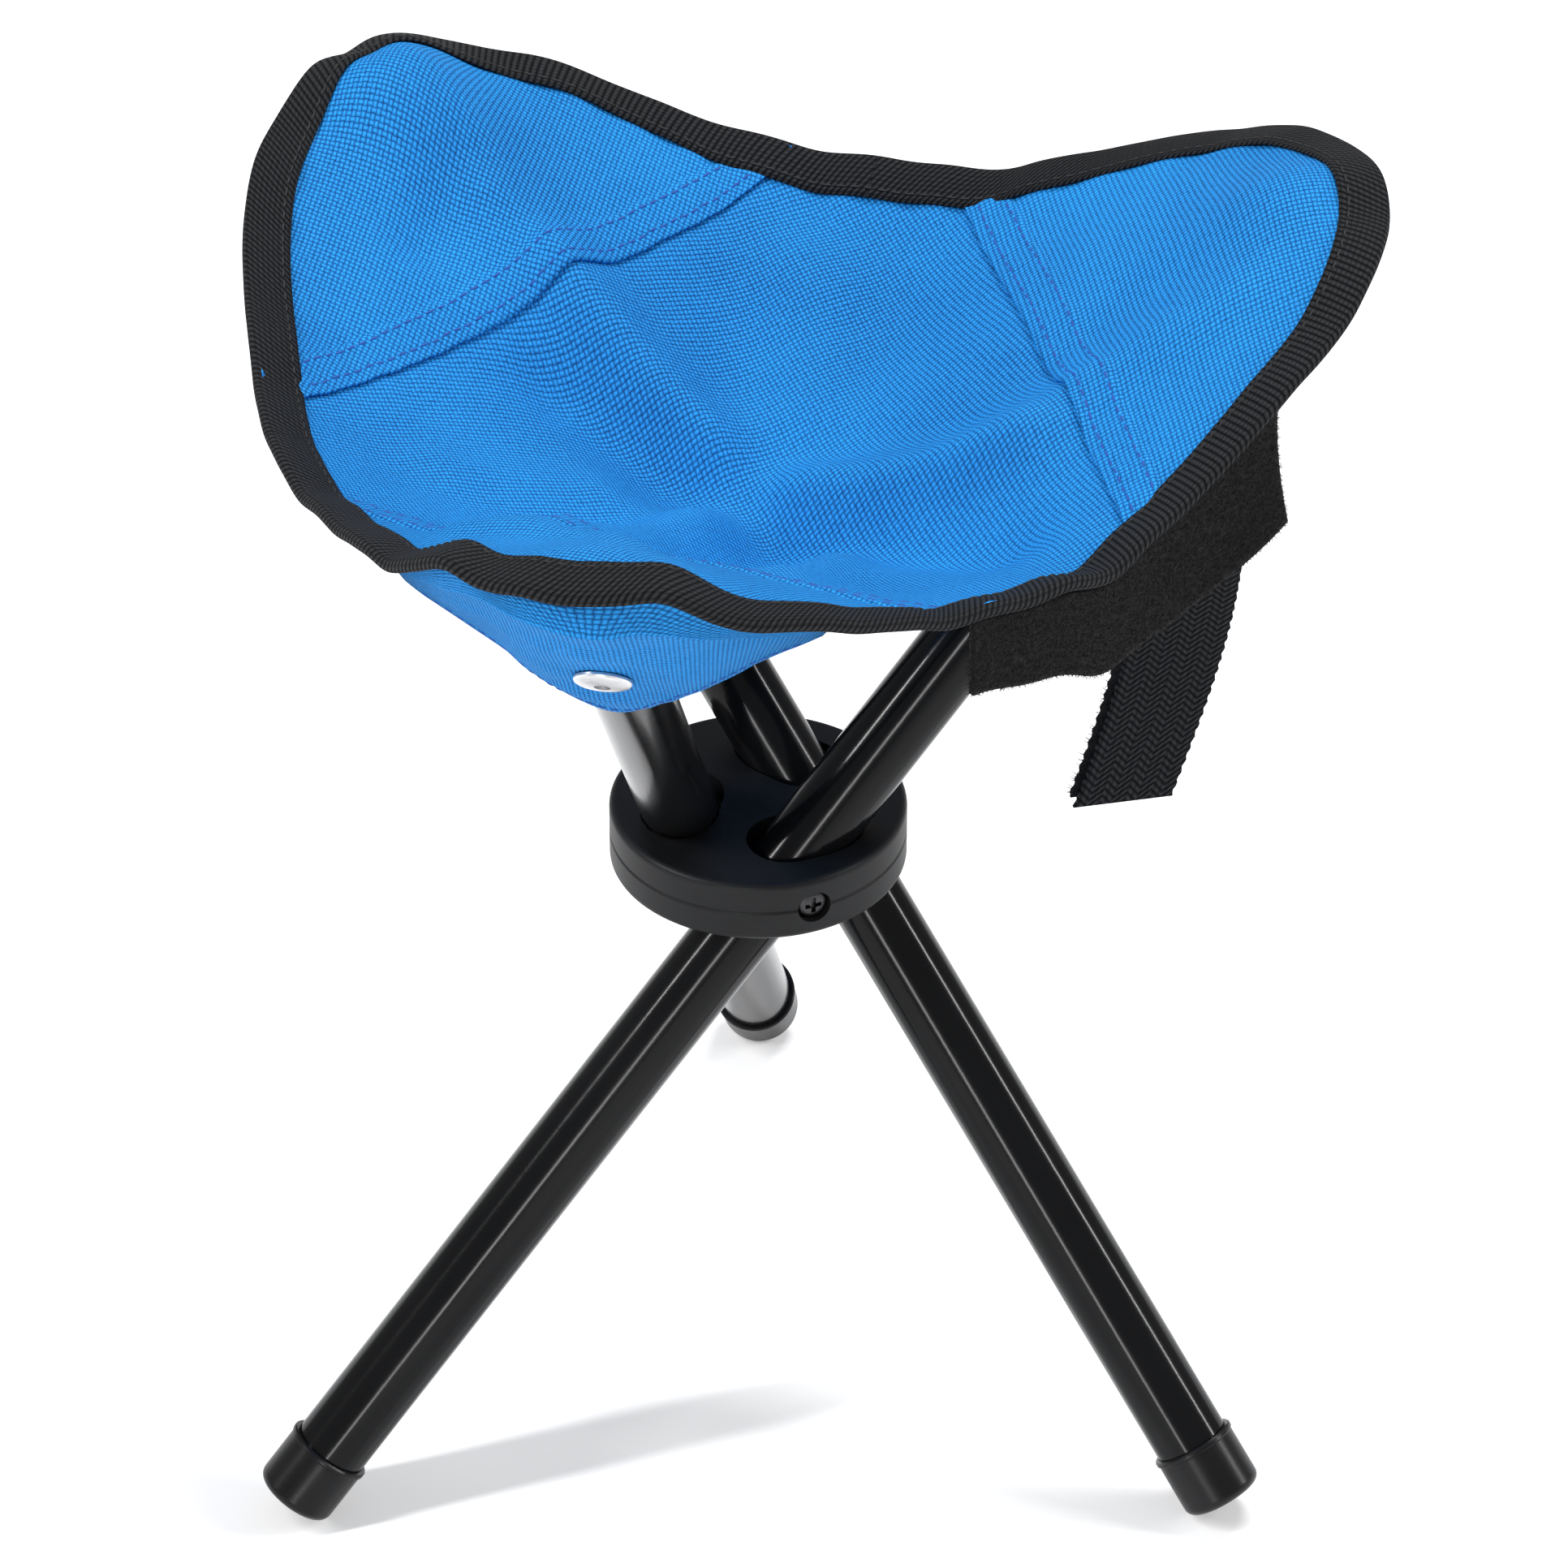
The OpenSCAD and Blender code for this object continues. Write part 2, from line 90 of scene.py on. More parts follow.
class Wire:
    """A socket of a node tree. Arithmetic on number wires adds Math nodes."""

    def __init__(self, bench: Bench, socket: bpy.types.NodeSocket) -> None:
        """Wraps an output socket of the bench's tree."""
        self.bench = bench
        self.socket = socket

    def _math(self, operation: str, *values: Any) -> Wire:
        """Adds a Math node on numbers or wires and gives its value."""
        node = self.bench.tree.nodes.new("ShaderNodeMath")
        node.operation = operation
        for slot, value in enumerate(values):
            self.bench.feed(node.inputs[slot], value)
        return Wire(self.bench, node.outputs[0])

    def __add__(self, other: Any) -> Wire:
        """Adds a number or a wire."""
        return self._math("ADD", self, other)

    def __sub__(self, other: Any) -> Wire:
        """Takes away a number or a wire."""
        return self._math("SUBTRACT", self, other)

    def __rsub__(self, other: Any) -> Wire:
        """Takes this wire away from a number."""
        return self._math("SUBTRACT", other, self)

    def __mul__(self, other: Any) -> Wire:
        """Multiplies by a number or a wire."""
        return self._math("MULTIPLY", self, other)

    def __truediv__(self, other: Any) -> Wire:
        """Divides by a number or a wire."""
        return self._math("DIVIDE", self, other)

    def __abs__(self) -> Wire:
        """Drops the sign."""
        return self._math("ABSOLUTE", self)

    __radd__ = __add__
    __rmul__ = __mul__

    def sine(self) -> Wire:
        """Takes the sine."""
        return self._math("SINE", self)

    def floor(self) -> Wire:
        """Rounds down."""
        return self._math("FLOOR", self)

    def remainder(self, period: float) -> Wire:
        """Takes the remainder, which is never negative."""
        return self._math("FLOORED_MODULO", self, period)

    def above(self, edge: float) -> Wire:
        """Gives 1 where the wire is above an edge, and 0 elsewhere."""
        return self._math("GREATER_THAN", self, edge)


class Bench:
    """Adds nodes to one shader or geometry tree."""

    def __init__(self, tree: bpy.types.NodeTree) -> None:
        """Keeps the tree."""
        self.tree = tree

    def feed(self, socket: bpy.types.NodeSocket, value: Any) -> None:
        """Links a wire to an input socket, or sets the socket's own value."""
        if isinstance(value, Wire):
            self.tree.links.new(value.socket, socket)
        else:
            socket.default_value = value

    def node(
        self,
        kind: str,
        settings: dict[str, Any] | None = None,
        inputs: dict[str | int, Any] | None = None,
        output: str | int = 0,
    ) -> Wire:
        """Adds any node.

        Args:
            kind: The node's type name.
            settings: Its settings, set first.
            inputs: Values or wires by socket name or number.
            output: The output wanted, by name or number.

        Returns:
            The wire of that output.
        """
        node = self.tree.nodes.new(kind)
        for name, value in (settings or {}).items():
            setattr(node, name, value)
        for name, value in (inputs or {}).items():
            self.feed(node.inputs[name], value)
        return Wire(self, node.outputs[output])


class SurfaceShop(Bench):
    """Builds one material round a Principled shader."""

    def __init__(self, name: str, **constants: Any) -> None:
        """Makes the material.

        Args:
            name: The material's name.
            **constants: Values of the shader's own sockets, with _ for a space.
        """
        self.material = bpy.data.materials.new(name)
        self.material.use_nodes = True
        super().__init__(self.material.node_tree)
        self.shader = self.tree.nodes["Principled BSDF"]
        for key, value in constants.items():
            self.shader.inputs[key.replace("_", " ")].default_value = value

    def place(self) -> Wire:
        """Gives the Object coordinates."""
        return self.node("ShaderNodeTexCoord", output="Object")

    def cloth_place(self) -> tuple[Wire, Wire, Wire]:
        """Gives the cloth's own map as a vector and as its two numbers."""
        vector = self.node("ShaderNodeUVMap", {"uv_map": "weave"})
        split = self.tree.nodes.new("ShaderNodeSeparateXYZ")
        self.feed(split.inputs[0], vector)
        return vector, Wire(self, split.outputs[0]), Wire(self, split.outputs[1])

    def grain(self, scale: float, detail: float = 3.0, vector: Wire | None = None) -> Wire:
        """Adds a noise texture.

        Args:
            scale: Its scale, per metre.
            detail: Its detail.
            vector: Where it is read; Object coordinates if left out.

        Returns:
            The noise, from 0 to 1.
        """
        inputs = {"Vector": vector or self.place(), "Scale": scale, "Detail": detail}
        return self.node("ShaderNodeTexNoise", None, inputs, "Fac")

    def between(self, share: Wire, low: Sequence[float], high: Sequence[float]) -> Wire:
        """Mixes two colours, share being how much of the second."""
        node = self.tree.nodes.new("ShaderNodeMix")
        node.data_type = "RGBA"
        sockets = [s for s in node.inputs if s.type == "RGBA"]
        self.feed(node.inputs[0], share)
        for socket, colour in zip(sockets, (low, high)):
            socket.default_value = (*colour, 1.0)
        return Wire(self, next(s for s in node.outputs if s.type == "RGBA"))

    def surface(
        self, colour: Wire | None, rough: Wire | None, height: Wire | None, deep: float
    ) -> None:
        """Feeds the shader.

        Args:
            colour: The base colour.
            rough: The roughness.
            height: The bump's height, from 0 to 1.
            deep: The depth of a height of 1, in metres.
        """
        if colour:
            self.feed(self.shader.inputs["Base Color"], colour)
        if rough:
            self.feed(self.shader.inputs["Roughness"], rough)
        if height:
            inputs = {"Height": height, "Strength": 1.0, "Distance": deep}
            self.feed(self.shader.inputs["Normal"], self.node("ShaderNodeBump", None, inputs))


# ---- Finishes ----


@dataclass(frozen=True)
class WovenCloth:
    """Close plain weave in azure, with slubs, slow random changes of tone, painted highlight on
    the thread crowns and painted shade in the gaps between threads.
    """

    pitch: float = 1.0 * MM
    # dark and light span the cloth's own tone plus the painted shade between threads and the
    # painted highlight on their crowns.
    dark: tuple[float, float, float] = (0.001, 0.042, 0.190)
    light: tuple[float, float, float] = (0.026, 0.385, 0.980)

    def make(self) -> bpy.types.Material:
        """Builds the material."""
        shop = SurfaceShop("azure_cloth", Specular_IOR_Level=0.16)
        vector, u, v = shop.cloth_place()
        across, along = u / self.pitch, v / self.pitch
        warp = abs((across * math.pi).sine())
        weft = abs((along * math.pi).sine())
        over = (across.floor() + along.floor()).remainder(2.0).above(0.5)
        raised = over * warp * (weft * 0.45 + 0.55) + (1 - over) * weft * (warp * 0.45 + 0.55)
        slub = shop.grain(900.0, 2.0, vector)
        shade = shop.grain(26.0, 3.0)
        # raised paints the thread crowns lighter and the gaps darker as painted highlight and
        # painted shade, added to the own tone of the slubs and the slow noise.
        tone = raised * 0.78 + slub * 0.42 + shade * 0.30 - 0.32
        colour = shop.between(tone, self.dark, self.light)
        shop.surface(colour, 0.86 - raised * 0.16, raised * 0.8 + slub * 0.35, 0.3 * MM)
        return shop.material


@dataclass(frozen=True)
class RibbedTape:
    """Black woven tape, ribbed on the slant or in chevrons, with painted highlight on the rib
    crowns and painted shade in the grooves.
    """

    name: str
    rib: float
    chevron: float = 0.0
    lean: float = 0.6
    # dark is the painted shade in the grooves and light the painted highlight on the rib crowns of
    # the black tape.
    dark: tuple[float, float, float] = (0.0012, 0.0013, 0.0015)
    light: tuple[float, float, float] = (0.034, 0.036, 0.041)

    def make(self) -> bpy.types.Material:
        """Builds the material; a chevron width of 0 leaves plain slanted ribs."""
        shop = SurfaceShop(self.name, Sheen_Weight=0.01, Specular_IOR_Level=0.14)
        vector, u, v = shop.cloth_place()
        side = abs(u.remainder(self.chevron) - self.chevron / 2) if self.chevron else u
        slant = (v + side * self.lean) / self.rib
        rib = abs((slant * math.pi).sine())
        thread = abs((u * (math.pi / (0.8 * self.rib))).sine())
        fluff = shop.grain(1100.0, 2.0, vector)
        raised = rib * (0.55 + thread * 0.45)
        # raised paints the rib crowns lighter and the grooves darker as painted highlight and
        # painted shade, over the rib pattern and the fluff's own tone.
        tone = raised * 0.95 + fluff * 0.5 - 0.4
        colour = shop.between(tone, self.dark, self.light)
        shop.surface(colour, 0.92 - raised * 0.22, raised + fluff * 0.3, 0.5 * MM)
        return shop.material


@dataclass(frozen=True)
class Pile:
    """Matt black pile of the loop and hook tapes."""

    name: str = "pile"
    light: tuple[float, float, float] = (0.008, 0.008, 0.009)

    def make(self) -> bpy.types.Material:
        """Builds the material."""
        sheen = {"Sheen_Weight": 0.04, "Sheen_Roughness": 0.6}
        shop = SurfaceShop(self.name, Specular_IOR_Level=0.2, **sheen)
        fluff = shop.grain(1500.0, 4.0)
        clump = shop.grain(260.0, 3.0)
        colour = shop.between(fluff * 0.7 + clump * 0.4 - 0.1, (0.002, 0.002, 0.0022), self.light)
        shop.surface(colour, 0.98 - fluff * 0.12, fluff * 0.7 + clump * 0.5, 0.5 * MM)
        return shop.material


@dataclass(frozen=True)
class Lacquer:
    """Gloss black lacquer with a slight orange peel and a few rubbed places."""

    def make(self) -> bpy.types.Material:
        """Builds the material."""
        coat = {"Coat_Weight": 0.06, "Coat_Roughness": 0.05}
        shop = SurfaceShop("black_lacquer", Specular_IOR_Level=0.14, **coat)
        peel = shop.grain(420.0, 2.0)
        rub = shop.grain(38.0, 5.0)
        dust = shop.grain(1700.0, 1.0)
        tone = rub * 0.7 + dust * 0.3
        colour = shop.between(tone, (0.0025, 0.0026, 0.003), (0.0075, 0.0078, 0.0085))
        rough = 0.09 + rub * 0.1 + dust * 0.03
        shop.surface(colour, rough, peel, 0.012 * MM)
        return shop.material


@dataclass(frozen=True)
class Moulding:
    """Black moulded plastic with a fine grain and paler, rubbed patches."""

    name: str
    rough: float
    grain: float
    pale: tuple[float, float, float] = (0.017, 0.0175, 0.019)

    def make(self) -> bpy.types.Material:
        """Builds the material."""
        shop = SurfaceShop(self.name, Specular_IOR_Level=0.2)
        fine = shop.grain(2600.0, 2.0)
        flow = shop.grain(70.0, 4.0)
        colour = shop.between(flow * 0.9 + fine * 0.2 - 0.1, (0.004, 0.0041, 0.0045), self.pale)
        shop.surface(colour, self.rough - 0.06 + flow * 0.14 + fine * 0.05, fine, self.grain)
        return shop.material


@dataclass(frozen=True)
class Metal:
    """Plated or satin metal with fine turned marks and small stains."""

    name: str
    colour: tuple[float, float, float]
    rough: float

    def make(self) -> bpy.types.Material:
        """Builds the material."""
        shop = SurfaceShop(self.name, Metallic=1.0)
        marks = shop.grain(2400.0, 3.0)
        stain = shop.grain(240.0, 4.0)
        dull = tuple(0.55 * part for part in self.colour)
        colour = shop.between(stain * 0.75 + marks * 0.35, dull, self.colour)
        shop.surface(colour, self.rough + stain * 0.12 + marks * 0.08, marks, 0.02 * MM)
        return shop.material


@dataclass(frozen=True)
class Thread:
    """Sewing thread, twisted along its length."""

    name: str
    dark: tuple[float, float, float]
    light: tuple[float, float, float]

    def make(self) -> bpy.types.Material:
        """Builds the material."""
        shop = SurfaceShop(self.name, Roughness=0.6)
        twist = shop.grain(2800.0, 2.0)
        colour = shop.between(twist, self.dark, self.light)
        shop.surface(colour, 0.5 + twist * 0.3, twist, 0.08 * MM)
        return shop.material


class Finish(Enum):
    """The finishes of the stool, each with its record slot."""

    CLOTH = "blue_cloth"
    TAPE = "black_tape"
    WEBBING = "webbing"
    LOOP = "loop_pile"
    HOOK = "hook_pile"
    LACQUER = "black_lacquer"
    HUB = "black_moulding"
    CAP = "black_cap"
    STEEL = "zinc_steel"
    SCREW = "screw_steel"
    RIVET = "rivet_metal"
    BLUE_THREAD = "blue_thread"
    BLACK_THREAD = "black_thread"


class Wardrobe:
    """Makes each material once and hands it out."""

    def __init__(self) -> None:
        """Builds every material."""
        black, grey = (0.002, 0.002, 0.002), (0.02, 0.02, 0.022)
        deep_blue, blue = (0.002, 0.04, 0.24), (0.012, 0.12, 0.50)
        cap_shine = (0.011, 0.011, 0.012)
        self.materials: dict[Finish, bpy.types.Material] = {
            Finish.CLOTH: WovenCloth().make(),
            Finish.TAPE: RibbedTape("edge_tape_weave", 1.5 * MM).make(),
            Finish.WEBBING: RibbedTape("webbing_weave", 1.7 * MM, 5.0 * MM, 1.0).make(),
            Finish.LOOP: Pile("loop_pile").make(),
            Finish.HOOK: Pile("hook_pile", (0.010, 0.010, 0.012)).make(),
            Finish.LACQUER: Lacquer().make(),
            Finish.HUB: Moulding("hub_plastic", 0.42, 0.03 * MM).make(),
            Finish.CAP: Moulding("cap_plastic", 0.26, 0.01 * MM, cap_shine).make(),
            Finish.STEEL: Metal("zinc_plate", (0.55, 0.55, 0.54), 0.25).make(),
            Finish.SCREW: Metal("blackened_steel", (0.075, 0.075, 0.078), 0.28).make(),
            Finish.RIVET: Metal("satin_rivet", (0.86, 0.86, 0.87), 0.2).make(),
            Finish.BLUE_THREAD: Thread("blue_thread", deep_blue, blue).make(),
            Finish.BLACK_THREAD: Thread("black_thread", black, grey).make(),
        }

    def __getitem__(self, finish: Finish) -> bpy.types.Material:
        """Gives the material of a finish."""
        return self.materials[finish]

    def dress(self, piece: bpy.types.Object, finish: Finish) -> None:
        """Puts one finish on a whole piece."""
        piece.data.materials.clear()
        piece.data.materials.append(self.materials[finish])


# ---- Meshes ----


def grid_faces(rows: int, cols: int, wrap: bool) -> list[tuple[int, int, int, int]]:
    """Gives the quads of a grid of points.

    Args:
        rows: Number of rows.
        cols: Number of points in a row.
        wrap: Whether a row's end joins its start.

    Returns:
        The faces as corner numbers.
    """
    faces = []
    for i in range(rows - 1):
        for j in range(cols if wrap else cols - 1):
            here, after = i * cols, (j + 1) % cols
            faces.append((here + j, here + cols + j, here + cols + after, here + after))
    return faces


def new_piece(
    name: str,
    points: np.ndarray,
    faces: Sequence[Sequence[int]],
    weave: np.ndarray | None = None,
    edges: Sequence[tuple[int, int]] = (),
) -> bpy.types.Object:
    """Makes a mesh object.

    Args:
        name: The piece's name.
        points: Its points, in metres.
        faces: Its faces.
        weave: The cloth's own map, two numbers for each point.
        edges: Loose edges, for a path.

    Returns:
        The new object, smooth shaded and in the scene.
    """
    mesh = bpy.data.meshes.new(name)
    mesh.from_pydata([tuple(p) for p in points.reshape(-1, 3)], list(edges), list(faces))
    if weave is not None:
        layer = mesh.uv_layers.new(name="weave")
        corners = np.empty(len(mesh.loops), dtype=np.int32)
        mesh.loops.foreach_get("vertex_index", corners)
        layer.data.foreach_set("uv", weave.reshape(-1, 2)[corners].astype(np.float32).ravel())
    if len(faces):
        mesh.shade_smooth()
    mesh.update()
    piece = bpy.data.objects.new(name, mesh)
    bpy.context.scene.collection.objects.link(piece)
    return piece


def settled(piece: bpy.types.Object) -> bpy.types.Object:
    """Bakes a piece's modifiers into a plain mesh."""
    graph = bpy.context.evaluated_depsgraph_get()
    mesh = bpy.data.meshes.new_from_object(piece.evaluated_get(graph))
    piece.modifiers.clear()
    piece.data = mesh
    return piece


def thickened(piece: bpy.types.Object, thick: float) -> bpy.types.Object:
    """Gives a sheet its thickness, half to each side, as a closed shell."""
    wall = piece.modifiers.new("wall", "SOLIDIFY")
    wall.thickness = thick
    wall.offset = 0.0
    wall.use_even_offset = True
    return settled(piece)


def twin(piece: bpy.types.Object, name: str) -> bpy.types.Object:
    """Copies a piece and its mesh under another name."""
    copy = piece.copy()
    copy.data = piece.data.copy()
    copy.name = name
    bpy.context.scene.collection.objects.link(copy)
    return copy


def travelled(points: np.ndarray) -> np.ndarray:
    """Gives the length of a line of points up to each of them."""
    return np.concatenate([[0.0], np.cumsum(np.linalg.norm(np.diff(points, axis=0), axis=1))])


def smoothstep(value: np.ndarray | float) -> np.ndarray:
    """Eases a value from 0 to 1."""
    t = np.clip(value, 0.0, 1.0)
    return t * t * (3 - 2 * t)


def wander(points: np.ndarray, scale: float, seed: float) -> np.ndarray:
    """Reads smooth noise at some points.

    Args:
        points: Points, the last axis being x, y and z in millimetres.
        scale: Size of the noise's features, in millimetres.
        seed: Shifts the pattern.

    Returns:
        Noise of about -1 to 1 for each point.
    """
    flat = points.reshape(-1, 3) / scale
    values = [noise.noise(Vector((x + seed, y - seed, z))) for x, y, z in flat]
    return np.array(values).reshape(points.shape[:-1])


# ---- Repeated details, made by Geometry Nodes ----


class Repeater(Bench):
    """A Geometry Nodes tree with named inputs that repeats a small shape."""

    def __init__(self, name: str, numbers: dict[str, float]) -> None:
        """Makes the tree and its inputs.

        Args:
            name: The tree's name.
            numbers: Named inputs with their first values.
        """
        super().__init__(bpy.data.node_groups.new(name, "GeometryNodeTree"))
        face = self.tree.interface
        face.new_socket("Geometry", in_out="INPUT", socket_type="NodeSocketGeometry")
        self.names: dict[str, str] = {}
        for label, value in numbers.items():
            socket = face.new_socket(label, in_out="INPUT", socket_type="NodeSocketFloat")
            socket.default_value = value
            self.names[label] = socket.identifier
        face.new_socket("Geometry", in_out="OUTPUT", socket_type="NodeSocketGeometry")
        self.entry = self.tree.nodes.new("NodeGroupInput")
        self.exit = self.tree.nodes.new("NodeGroupOutput")

    def given(self, label: str) -> Wire:
        """Gives one named input."""
        return Wire(self, self.entry.outputs[label])

    def vector(self, x: Any, y: Any, z: Any) -> Wire:
        """Joins three numbers or wires."""
        return self.node("ShaderNodeCombineXYZ", None, {0: x, 1: y, 2: z})

    def end(
        self,
        places: bpy.types.Node,
        shape: Wire,
        size: Wire,
        material: bpy.types.Material,
        spin: Wire | None = None,
    ) -> None:
        """Sets a shape on every place, realizes the copies and ends the tree.

        Args:
            places: A node whose outputs are Points and Rotation.
            shape: The shape to repeat.
            size: Its scale.
            material: Its material.
            spin: A further turn of each copy, if any.
        """
        turn = Wire(self, places.outputs["Rotation"])
        if spin:
            settings = {"rotation_space": "LOCAL"}
            turn = self.node("FunctionNodeRotateRotation", settings, {0: turn, 1: spin})
        points = Wire(self, places.outputs["Points"])
        inputs = {"Points": points, "Instance": shape, "Rotation": turn, "Scale": size}
        copies = self.node("GeometryNodeInstanceOnPoints", None, inputs)
        real = self.node("GeometryNodeRealizeInstances", None, {"Geometry": copies})
        inputs = {"Geometry": real, "Material": material}
        self.feed(self.exit.inputs[0], self.node("GeometryNodeSetMaterial", None, inputs))

    def run(self, base: bpy.types.Object, **values: float) -> bpy.types.Object:
        """Runs the tree on a path or surface and leaves the result as its plain mesh."""
        modifier = base.modifiers.new("repeat", "NODES")
        modifier.node_group = self.tree
        for label, value in values.items():
            modifier[self.names[label]] = value
        settled(base)
        base.data.shade_smooth()
        return base


def stitch_tree(name: str, thread: bpy.types.Material) -> Repeater:
    """Builds the tree that sews stitches along a path.

    Args:
        name: The tree's name.
        thread: The thread's material.

    Returns:
        The tree, with inputs Pitch, Length and Thread.
    """
    tree = Repeater(name, {"Pitch": 3.0 * MM, "Length": 2.3 * MM, "Thread": 0.3 * MM})
    path = tree.node("GeometryNodeMeshToCurve", None, {"Mesh": tree.given("Geometry")})
    points = tree.tree.nodes.new("GeometryNodeCurveToPoints")
    points.mode = "LENGTH"
    tree.feed(points.inputs["Curve"], path)
    tree.feed(points.inputs["Length"], tree.given("Pitch"))
    ball = {"Segments": 8, "Rings": 5, "Radius": 1.0}
    bead = tree.node("GeometryNodeMeshUVSphere", None, ball, "Mesh")
    size = tree.vector(tree.given("Thread"), tree.given("Thread"), tree.given("Length") * 0.5)
    tree.end(points, bead, size, thread)
    return tree


def fuzz_tree(name: str, material: bpy.types.Material, seed: int) -> Repeater:
    """Builds the tree that grows short fibres on a surface.

    Args:
        name: The tree's name.
        material: The fibres' material.
        seed: Seed of their places and leans.

    Returns:
        The tree, with inputs Density, Height, Fibre and Lean.
    """
    start = {"Density": 4.0e5, "Height": 1.3 * MM, "Fibre": 0.09 * MM, "Lean": 0.9}
    tree = Repeater(name, start)
    scatter = tree.tree.nodes.new("GeometryNodeDistributePointsOnFaces")
    tree.feed(scatter.inputs["Mesh"], tree.given("Geometry"))
    tree.feed(scatter.inputs["Density"], tree.given("Density"))
    scatter.inputs["Seed"].default_value = seed
    taper = {"Vertices": 3, "Radius Top": 0.35, "Radius Bottom": 1.0, "Depth": 1.0}
    fibre = tree.node("GeometryNodeMeshCone", {"fill_type": "NGON"}, taper, "Mesh")
    lean = tree.given("Lean")
    low = tree.vector(lean * -1.0, lean * -1.0, -math.pi)
    high = tree.vector(lean, lean, math.pi)
    limits = {"Min": low, "Max": high, "Seed": seed + 1}
    turn = tree.node("FunctionNodeRandomValue", {"data_type": "FLOAT_VECTOR"}, limits)
    spin = tree.node("FunctionNodeEulerToRotation", None, {0: turn})
    size = tree.vector(tree.given("Fibre"), tree.given("Fibre"), tree.given("Height"))
    tree.end(scatter, fibre, size, material, spin)
    return tree


# ---- The stool's shape ----


@dataclass(frozen=True)
class Fold:
    """A soft crest or hollow of the cloth along a line, in millimetres."""

    start: tuple[float, float]
    end: tuple[float, float]
    high: float
    wide: float

    def lift(self, x: np.ndarray, y: np.ndarray) -> np.ndarray:
        """Gives the fold's height at some points of the seat's plan."""
        sx, sy = self.start
        dx, dy = self.end[0] - sx, self.end[1] - sy
        length = math.hypot(dx, dy)
        along = ((x - sx) * dx + (y - sy) * dy) / length**2
        aside = ((x - sx) * dy - (y - sy) * dx) / length
        reach = smoothstep((along + 0.12) / 0.3) * smoothstep((1.12 - along) / 0.3)
        return self.high * np.exp(-((aside / self.wide) ** 2)) * reach


@dataclass(frozen=True)
class Frame:
    """The CAD frame's sizes, in millimetres, and its leg coordinates."""

    hub_x: float = -11.1
    hub_y: float = -0.5
    pivot_h: float = 139.348
    splay: float = 40.0
    first_pivot: float = 172.1985
    leg_offset: float = 15.5
    tube_r: float = 8.0
    top_s: float = 173.5
    rivet_s: float = 147.0

    def leg_angle(self, corner: int) -> float:
        """Gives the plan angle of a leg's pivot."""
        return self.first_pivot + STEP * corner

    def leg_point(self, corner: int, x: Any, y: Any, s: Any) -> np.ndarray:
        """Turns leg coordinates into a point measured from the hub's axis.

        Args:
            corner: The leg.
            x: Outward along the screw.
            y: Square to the tube on its under side.
            s: Along the tube from its pivot.

        Returns:
            The point or points.
        """
        a, lean = math.radians(self.leg_angle(corner)), math.radians(self.splay)
        out = self.leg_offset + np.asarray(x, float)
        along = np.asarray(s) * math.sin(lean) + np.asarray(y) * math.cos(lean)
        up = self.pivot_h + np.asarray(s) * math.cos(lean) - np.asarray(y) * math.sin(lean)
        out, along, up = np.broadcast_arrays(out, along, up)
        east = out * math.cos(a) - along * math.sin(a)
        north = out * math.sin(a) + along * math.cos(a)
        return np.stack([east, north, up], axis=-1)

    def under(self, corner: int) -> np.ndarray:
        """Gives the direction square to a tube on its under side."""
        a, lean = math.radians(self.leg_angle(corner)), math.radians(self.splay)
        level = math.cos(lean)
        return np.array([-math.sin(a) * level, math.cos(a) * level, -math.sin(lean)])

    def world(self, points: np.ndarray) -> np.ndarray:
        """Moves points from the hub's axis to the row frame, in metres."""
        return (points + np.array([self.hub_x, self.hub_y, 0.0])) * MM


@dataclass(frozen=True)
class Wave:
    """A rise or dip of the seat's edge: plan angle, height and spread."""

    at: float
    high: float
    wide: float

    def lift(self, angle: np.ndarray) -> np.ndarray:
        """Gives its height at some plan angles."""
        off = (angle - self.at + 180) % 360 - 180
        return self.high * np.exp(-((off / self.wide) ** 2))


